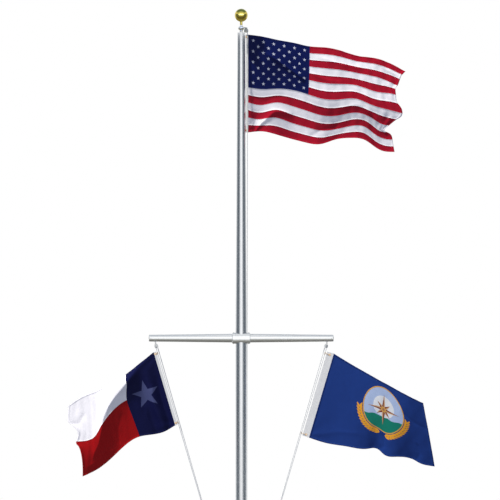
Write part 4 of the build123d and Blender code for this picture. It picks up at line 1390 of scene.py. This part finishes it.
def heading_stitches(flag):
    """Three rows of lock stitches on each face of a heading."""
    corner, down, along, normal, hoist = hoist_line(flag)
    width, half = heading_size(flag)
    points, faces = [], []
    for inset in (EDGE_ROW, width - EDGE_ROW, width - SECOND_ROW):
        for side in (1, -1):
            for drop in np.arange(STITCH_END, hoist - STITCH_END, STITCH_PITCH):
                middle = corner - along * inset + down * drop + normal * side * half
                base = len(points)
                for a, b, c in STITCH_POINTS:
                    lift = normal * side * (c * STITCH_HEIGHT - STITCH_SUNK)
                    points.append(middle + along * a * HALF_THREAD + down * b * HALF_STITCH + lift)
                for face in STITCH_FACES:
                    faces.append([base + i for i in (face if side < 0 else face[::-1])])
    return mesh_object(f"{flag}_heading_stitches", points, faces)


def stop_collar(seat, down):
    """A brass ring round the halyard, drawn out along it to a short collar."""
    bpy.ops.object.select_all(action="DESELECT")
    bpy.ops.mesh.primitive_torus_add(
        location=(0, 0, 0), major_radius=5.5 * MM, minor_radius=1.3 * MM, major_segments=32,
        minor_segments=10)
    ring = bpy.context.object
    turn = down.to_track_quat("Z", "Y").to_matrix().to_4x4()
    ring.data.transform(Matrix.Translation(seat) @ turn @ Matrix.Diagonal((1, 1, 1.9, 1)))
    bpy.ops.object.shade_smooth()
    return ring


class FLAGPOLE_OT_headings(bpy.types.Operator):
    """Make each flag's stitched canvas heading and the collars that stop its snaps"""

    bl_idname = "flagpole.headings"
    bl_label = "Headings"

    def execute(self, context):
        cotton = canvas()
        brass = bpy.data.materials["polished_brass"]
        for flag in FLAGS:
            board = heading_strip(flag)
            thread = heading_stitches(flag)
            settle(board, f"{flag}_canvas", flag, cotton)
            settle(thread, f"{flag}_heading_stitches", flag, cotton)
            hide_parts(f"{flag}_heading")

            # Brass stop collars keep each snap at its place on the halyard
            corner, down, along, _, hoist = hoist_line(flag)
            fall = corner - along * (LEADS[flag] + heading_size(flag)[0])
            for word, level in (("top", SNAP_LEVEL), ("bottom", hoist - SNAP_LEVEL)):
                for place, shift in (("above", -STOP_OFF), ("below", STOP_OFF)):
                    ring = stop_collar(fall + down * (level + shift), down)
                    settle(ring, f"{flag}_stop_{word}_{place}", flag, brass)
        return {"FINISHED"}


# Stage

# Where the camera is beside the mast and above the ground, and where the sun comes from
CAMERA_ASIDE, CAMERA_HEIGHT = 0.0975, 5.207
SUN_FROM = (-0.5, -0.3, 0.8)

# Shades of the boards along one axis: coordinates in metres and colours
SIDE_SHADES = ((-17, "#F2F4F6"), (-11, "#9AA3AA"), (-7, "#687078"), (-1, "#727980"), (3, "#9AA1A6"),
               (6, "#E4E6E8"))
LOW_SHADES = ((-20, "#FFFFFF"), (-11, "#EAEAE8"), (-5.2, "#B6B5AF"), (-1.4, "#84837D"), (3, "#7A7973"),
              (12, "#94938D"))
HIGH_SHADES = ((-12, "#FFFFFF"), (-3, "#E6EAEE"), (1, "#C9CFD6"), (9, "#B4BAC2"))
FRONT_SHADES = ((-2, "#FFFFFF"), (26, "#FFFFFF"))
BALL_HIGH_SHADES = ((-0.34, "#FFFFFF"), (-0.21, "#D8E4EA"), (-0.106, "#7A94A6"), (0, "#6A8293"),
                    (0.14, "#92ABB8"), (0.34, "#C8D6DE"))
BALL_FRONT_SHADES = ((7.8, "#6E747C"), (7.87, "#BCCEFF"), (7.95, "#BCCEFF"), (8.12, "#6E747C"))
BALL_LOW_SHADES = ((-1.4, "#FFFFFF"), (-0.6, "#9C9C9C"), (-0.32, "#8A8A80"), (-0.2, "#4A473A"),
                   (-0.12, "#6E6A55"), (0, "#97947A"), (0.8, "#C4C0A8"))
PLAIN_SHADES = ((-1.4, "#FFFFFF"), (0.8, "#FFFFFF"))


def reflected_board(name, low, high, axis, shades, strength=1.0):
    """A studio board that only reflections see, shaded along one axis.

    low and high are its opposite corners in metres, alike on the axis it faces along.
    """
    facing = next(k for k in range(3) if low[k] == high[k])
    first, second = [k for k in range(3) if k != facing]
    corners = np.array([low, high, high, low], float)
    corners[:, first] = low[first], high[first], high[first], low[first]
    corners[:, second] = low[second], low[second], high[second], high[second]
    obj = mesh_object(name, corners, [(0, 1, 2, 3)])
    material, tree, shader = blank_material(name)
    place = add_node(tree, "TexCoord").outputs["Object"]
    parts = add_node(tree, "SeparateXYZ", inputs={0: place})
    start, end = shades[0][0], shades[-1][0]
    share = add_node(tree, "MapRange", inputs={
        "Value": parts.outputs[axis], "From Min": start, "From Max": end})
    ramp = add_node(tree, "ValToRGB", inputs={0: share})
    marks = ramp.color_ramp.elements
    while len(marks) < len(shades):
        marks.new(0.5)
    for mark, (at, code) in zip(marks, shades):
        mark.position = (at - start) / (end - start)
        mark.color = linear(code)
    tree.links.new(ramp.outputs[0], shader.inputs["Emission Color"])
    shader.inputs["Base Color"].default_value = linear("#000000")
    shader.inputs["Emission Strength"].default_value = strength
    shader.inputs["Specular IOR Level"].default_value = 0.0
    obj.data.materials.append(material)
    obj.visible_camera = False
    obj.visible_diffuse = False
    obj.visible_shadow = False
    obj.visible_transmission = False


def level_camera(scene, stage):
    """The camera in front of the mast, looking level."""
    lens = bpy.data.cameras.new("camera")
    lens.lens = stage.lens
    lens.sensor_width = 36.0
    lens.clip_start = 0.5
    lens.clip_end = 200.0
    camera = new_object("camera", lens)
    camera.location = (CAMERA_ASIDE, -stage.distance, CAMERA_HEIGHT)
    camera.rotation_euler = (math.radians(90), 0, 0)
    scene.camera = camera


def even_surroundings(scene, stage):
    """White to the eye and in reflections, and a soft bluish sky light to all else."""
    world = bpy.data.worlds.new("even_white")
    world.use_nodes = True
    tree = world.node_tree
    tree.nodes.clear()
    path = add_node(tree, "LightPath")
    seen = path.outputs["Is Camera Ray"]
    for ray in ("Is Glossy Ray", "Is Transmission Ray"):
        seen = add_node(tree, "Math", {"operation": "MAXIMUM"}, {0: seen, 1: path.outputs[ray]})
    strength = add_node(tree, "Mix", {"data_type": "FLOAT"}, {"Factor": seen, "A": stage.sky, "B": 1.0})
    tint = add_node(tree, "Mix", {"data_type": "RGBA"},
                    {"Factor": seen, "A": linear("#E2EAFF"), "B": linear("#FFFFFF")})
    light = add_node(tree, "Background", inputs={
        "Color": tint.outputs["Result"], "Strength": strength.outputs["Result"]})
    add_node(tree, "OutputWorld", inputs={"Surface": light})
    scene.world = world


def pale_floor():
    """A matt pale floor that takes shadows and throws no light back up."""
    bpy.ops.object.select_all(action="DESELECT")
    bpy.ops.mesh.primitive_circle_add(vertices=96, radius=14, fill_type="NGON", location=(0, 0, 0))
    floor = bpy.context.object
    floor.name = "floor"
    matt, tree, shader = blank_material("pale_floor")
    shader.inputs["Base Color"].default_value = linear("#F4F4F4")
    shader.inputs["Roughness"].default_value = 0.9
    shader.inputs["Specular IOR Level"].default_value = 0.0
    floor.data.materials.append(matt)
    floor.visible_diffuse = False
    return floor


def lamp_group(name, obj, state):
    """A collection that gives a lamp one object alone, or leaves that object out."""
    group = bpy.data.collections.new(name)
    group.objects.link(obj)
    group.collection_objects[0].light_linking.link_state = state
    return group


def sunlight(stage, floor):
    """A hazy sun from high on the left, and one like it for the floor alone.

    The real flags were lit clear of the mast, so its shade falls on the floor alone.
    """
    lamp = bpy.data.lights.new("sun", "SUN")
    lamp.energy = stage.sun
    lamp.color = linear("#FFFBF6")[:3]
    lamp.angle = math.radians(6)
    sun = new_object("sun", lamp)
    sun.rotation_euler = Vector(SUN_FROM).to_track_quat("Z", "Y").to_euler()
    sun.visible_glossy = False
    floor_sun = sun.copy()
    bpy.context.scene.collection.objects.link(floor_sun)
    floor_sun.light_linking.receiver_collection = lamp_group("floor_alone", floor, "INCLUDE")
    sun.light_linking.receiver_collection = lamp_group("all_but_floor", floor, "EXCLUDE")
    mast = bpy.data.objects["mast_shaft"]
    sun.light_linking.blocker_collection = lamp_group("all_but_mast", mast, "EXCLUDE")


def studio_boards():
    """Boards that the metal mirrors.

    Those at the sides draw two dark lines down the mast. The low and the high one shade
    the yardarm's underside and top, and the front one lights the middle of both.
    """
    for word, x in (("left", -9), ("right", 9)):
        reflected_board(f"side_board_{word}", (x, -17, -2), (x, 6, 10.9), 1, SIDE_SHADES)
    reflected_board("low_board", (-7, -20, 0.012), (7, 12, 0.012), 1, LOW_SHADES)
    reflected_board("high_board", (-7, -12, 13), (7, 9, 13), 1, HIGH_SHADES)
    reflected_board("front_board", (-9, -34, -2), (9, -34, 26), 2, FRONT_SHADES, strength=1.4)


def ball_boards():
    """Close boards that darken the ball's top and draw its bright band and dark line.

    The plain one hides the lowest of them from the mast and the yardarm.
    """
    reflected_board("ball_high_board", (-0.34, -0.34, 8.06), (0.34, 0.34, 8.06), 1, BALL_HIGH_SHADES)
    reflected_board("ball_front_board", (-0.55, -0.6, 7.8), (0.55, -0.6, 8.12), 2, BALL_FRONT_SHADES,
                    strength=6.0)
    reflected_board("ball_low_board", (-0.4, -1.4, 7.64), (0.4, 0.8, 7.64), 1, BALL_LOW_SHADES)
    reflected_board("ball_shield_board", (-0.4, -1.4, 7.635), (0.4, 0.8, 7.635), 1, PLAIN_SHADES)


class FLAGPOLE_OT_stage(bpy.types.Operator):
    """Set up the camera, pale floor, even white surroundings, the sun and the studio boards"""

    bl_idname = "flagpole.stage"
    bl_label = "Stage"

    def execute(self, context):
        scene = context.scene
        stage = scene.pole_stage
        scene.view_settings.view_transform = "Standard"
        level_camera(scene, stage)
        even_surroundings(scene, stage)
        sunlight(stage, pale_floor())
        studio_boards()
        ball_boards()
        return {"FINISHED"}


class FLAGPOLE_PT_panel(bpy.types.Panel):
    """The flagpole's pieces, one button each"""

    bl_idname = "FLAGPOLE_PT_panel"
    bl_label = "Flagpole"
    bl_space_type = "VIEW_3D"
    bl_region_type = "UI"
    bl_category = "Flagpole"

    def draw(self, context):
        layout = self.layout
        for operator in OPERATORS:
            layout.operator(operator.bl_idname)
        for settings in (context.scene.pole_finish, context.scene.pole_rope,
                         context.scene.pole_flags, context.scene.pole_stage):
            box = layout.box()
            for key in settings.__annotations__:
                box.prop(settings, key)


OPERATORS = (
    FLAGPOLE_OT_stage,
    FLAGPOLE_OT_metalwork,
    FLAGPOLE_OT_fasteners,
    FLAGPOLE_OT_halyards,
    FLAGPOLE_OT_headings,
    FLAGPOLE_OT_striped_flag,
    FLAGPOLE_OT_lone_star_flag,
    FLAGPOLE_OT_royal_flag,
)
GROUPS = {
    "pole_finish": PoleFinishSettings,
    "pole_rope": RopeSettings,
    "pole_flags": FlagSettings,
    "pole_stage": StageSettings,
}


def register():
    for group in GROUPS.values():
        bpy.utils.register_class(group)
    for key, group in GROUPS.items():
        setattr(bpy.types.Scene, key, bpy.props.PointerProperty(type=group))
    for operator in OPERATORS:
        bpy.utils.register_class(operator)
    bpy.utils.register_class(FLAGPOLE_PT_panel)


def unregister():
    bpy.utils.unregister_class(FLAGPOLE_PT_panel)
    for operator in reversed(OPERATORS):
        bpy.utils.unregister_class(operator)
    for key, group in GROUPS.items():
        delattr(bpy.types.Scene, key)
        bpy.utils.unregister_class(group)


def main():
    """Register the add-on and make every piece in order."""
    register()
    bpy.ops.flagpole.stage()
    bpy.ops.flagpole.metalwork()
    bpy.ops.flagpole.fasteners()
    bpy.ops.flagpole.halyards()
    bpy.ops.flagpole.headings()
    bpy.ops.flagpole.striped_flag()
    bpy.ops.flagpole.lone_star_flag()
    bpy.ops.flagpole.royal_flag()


if __name__ == "__main__":
    main()
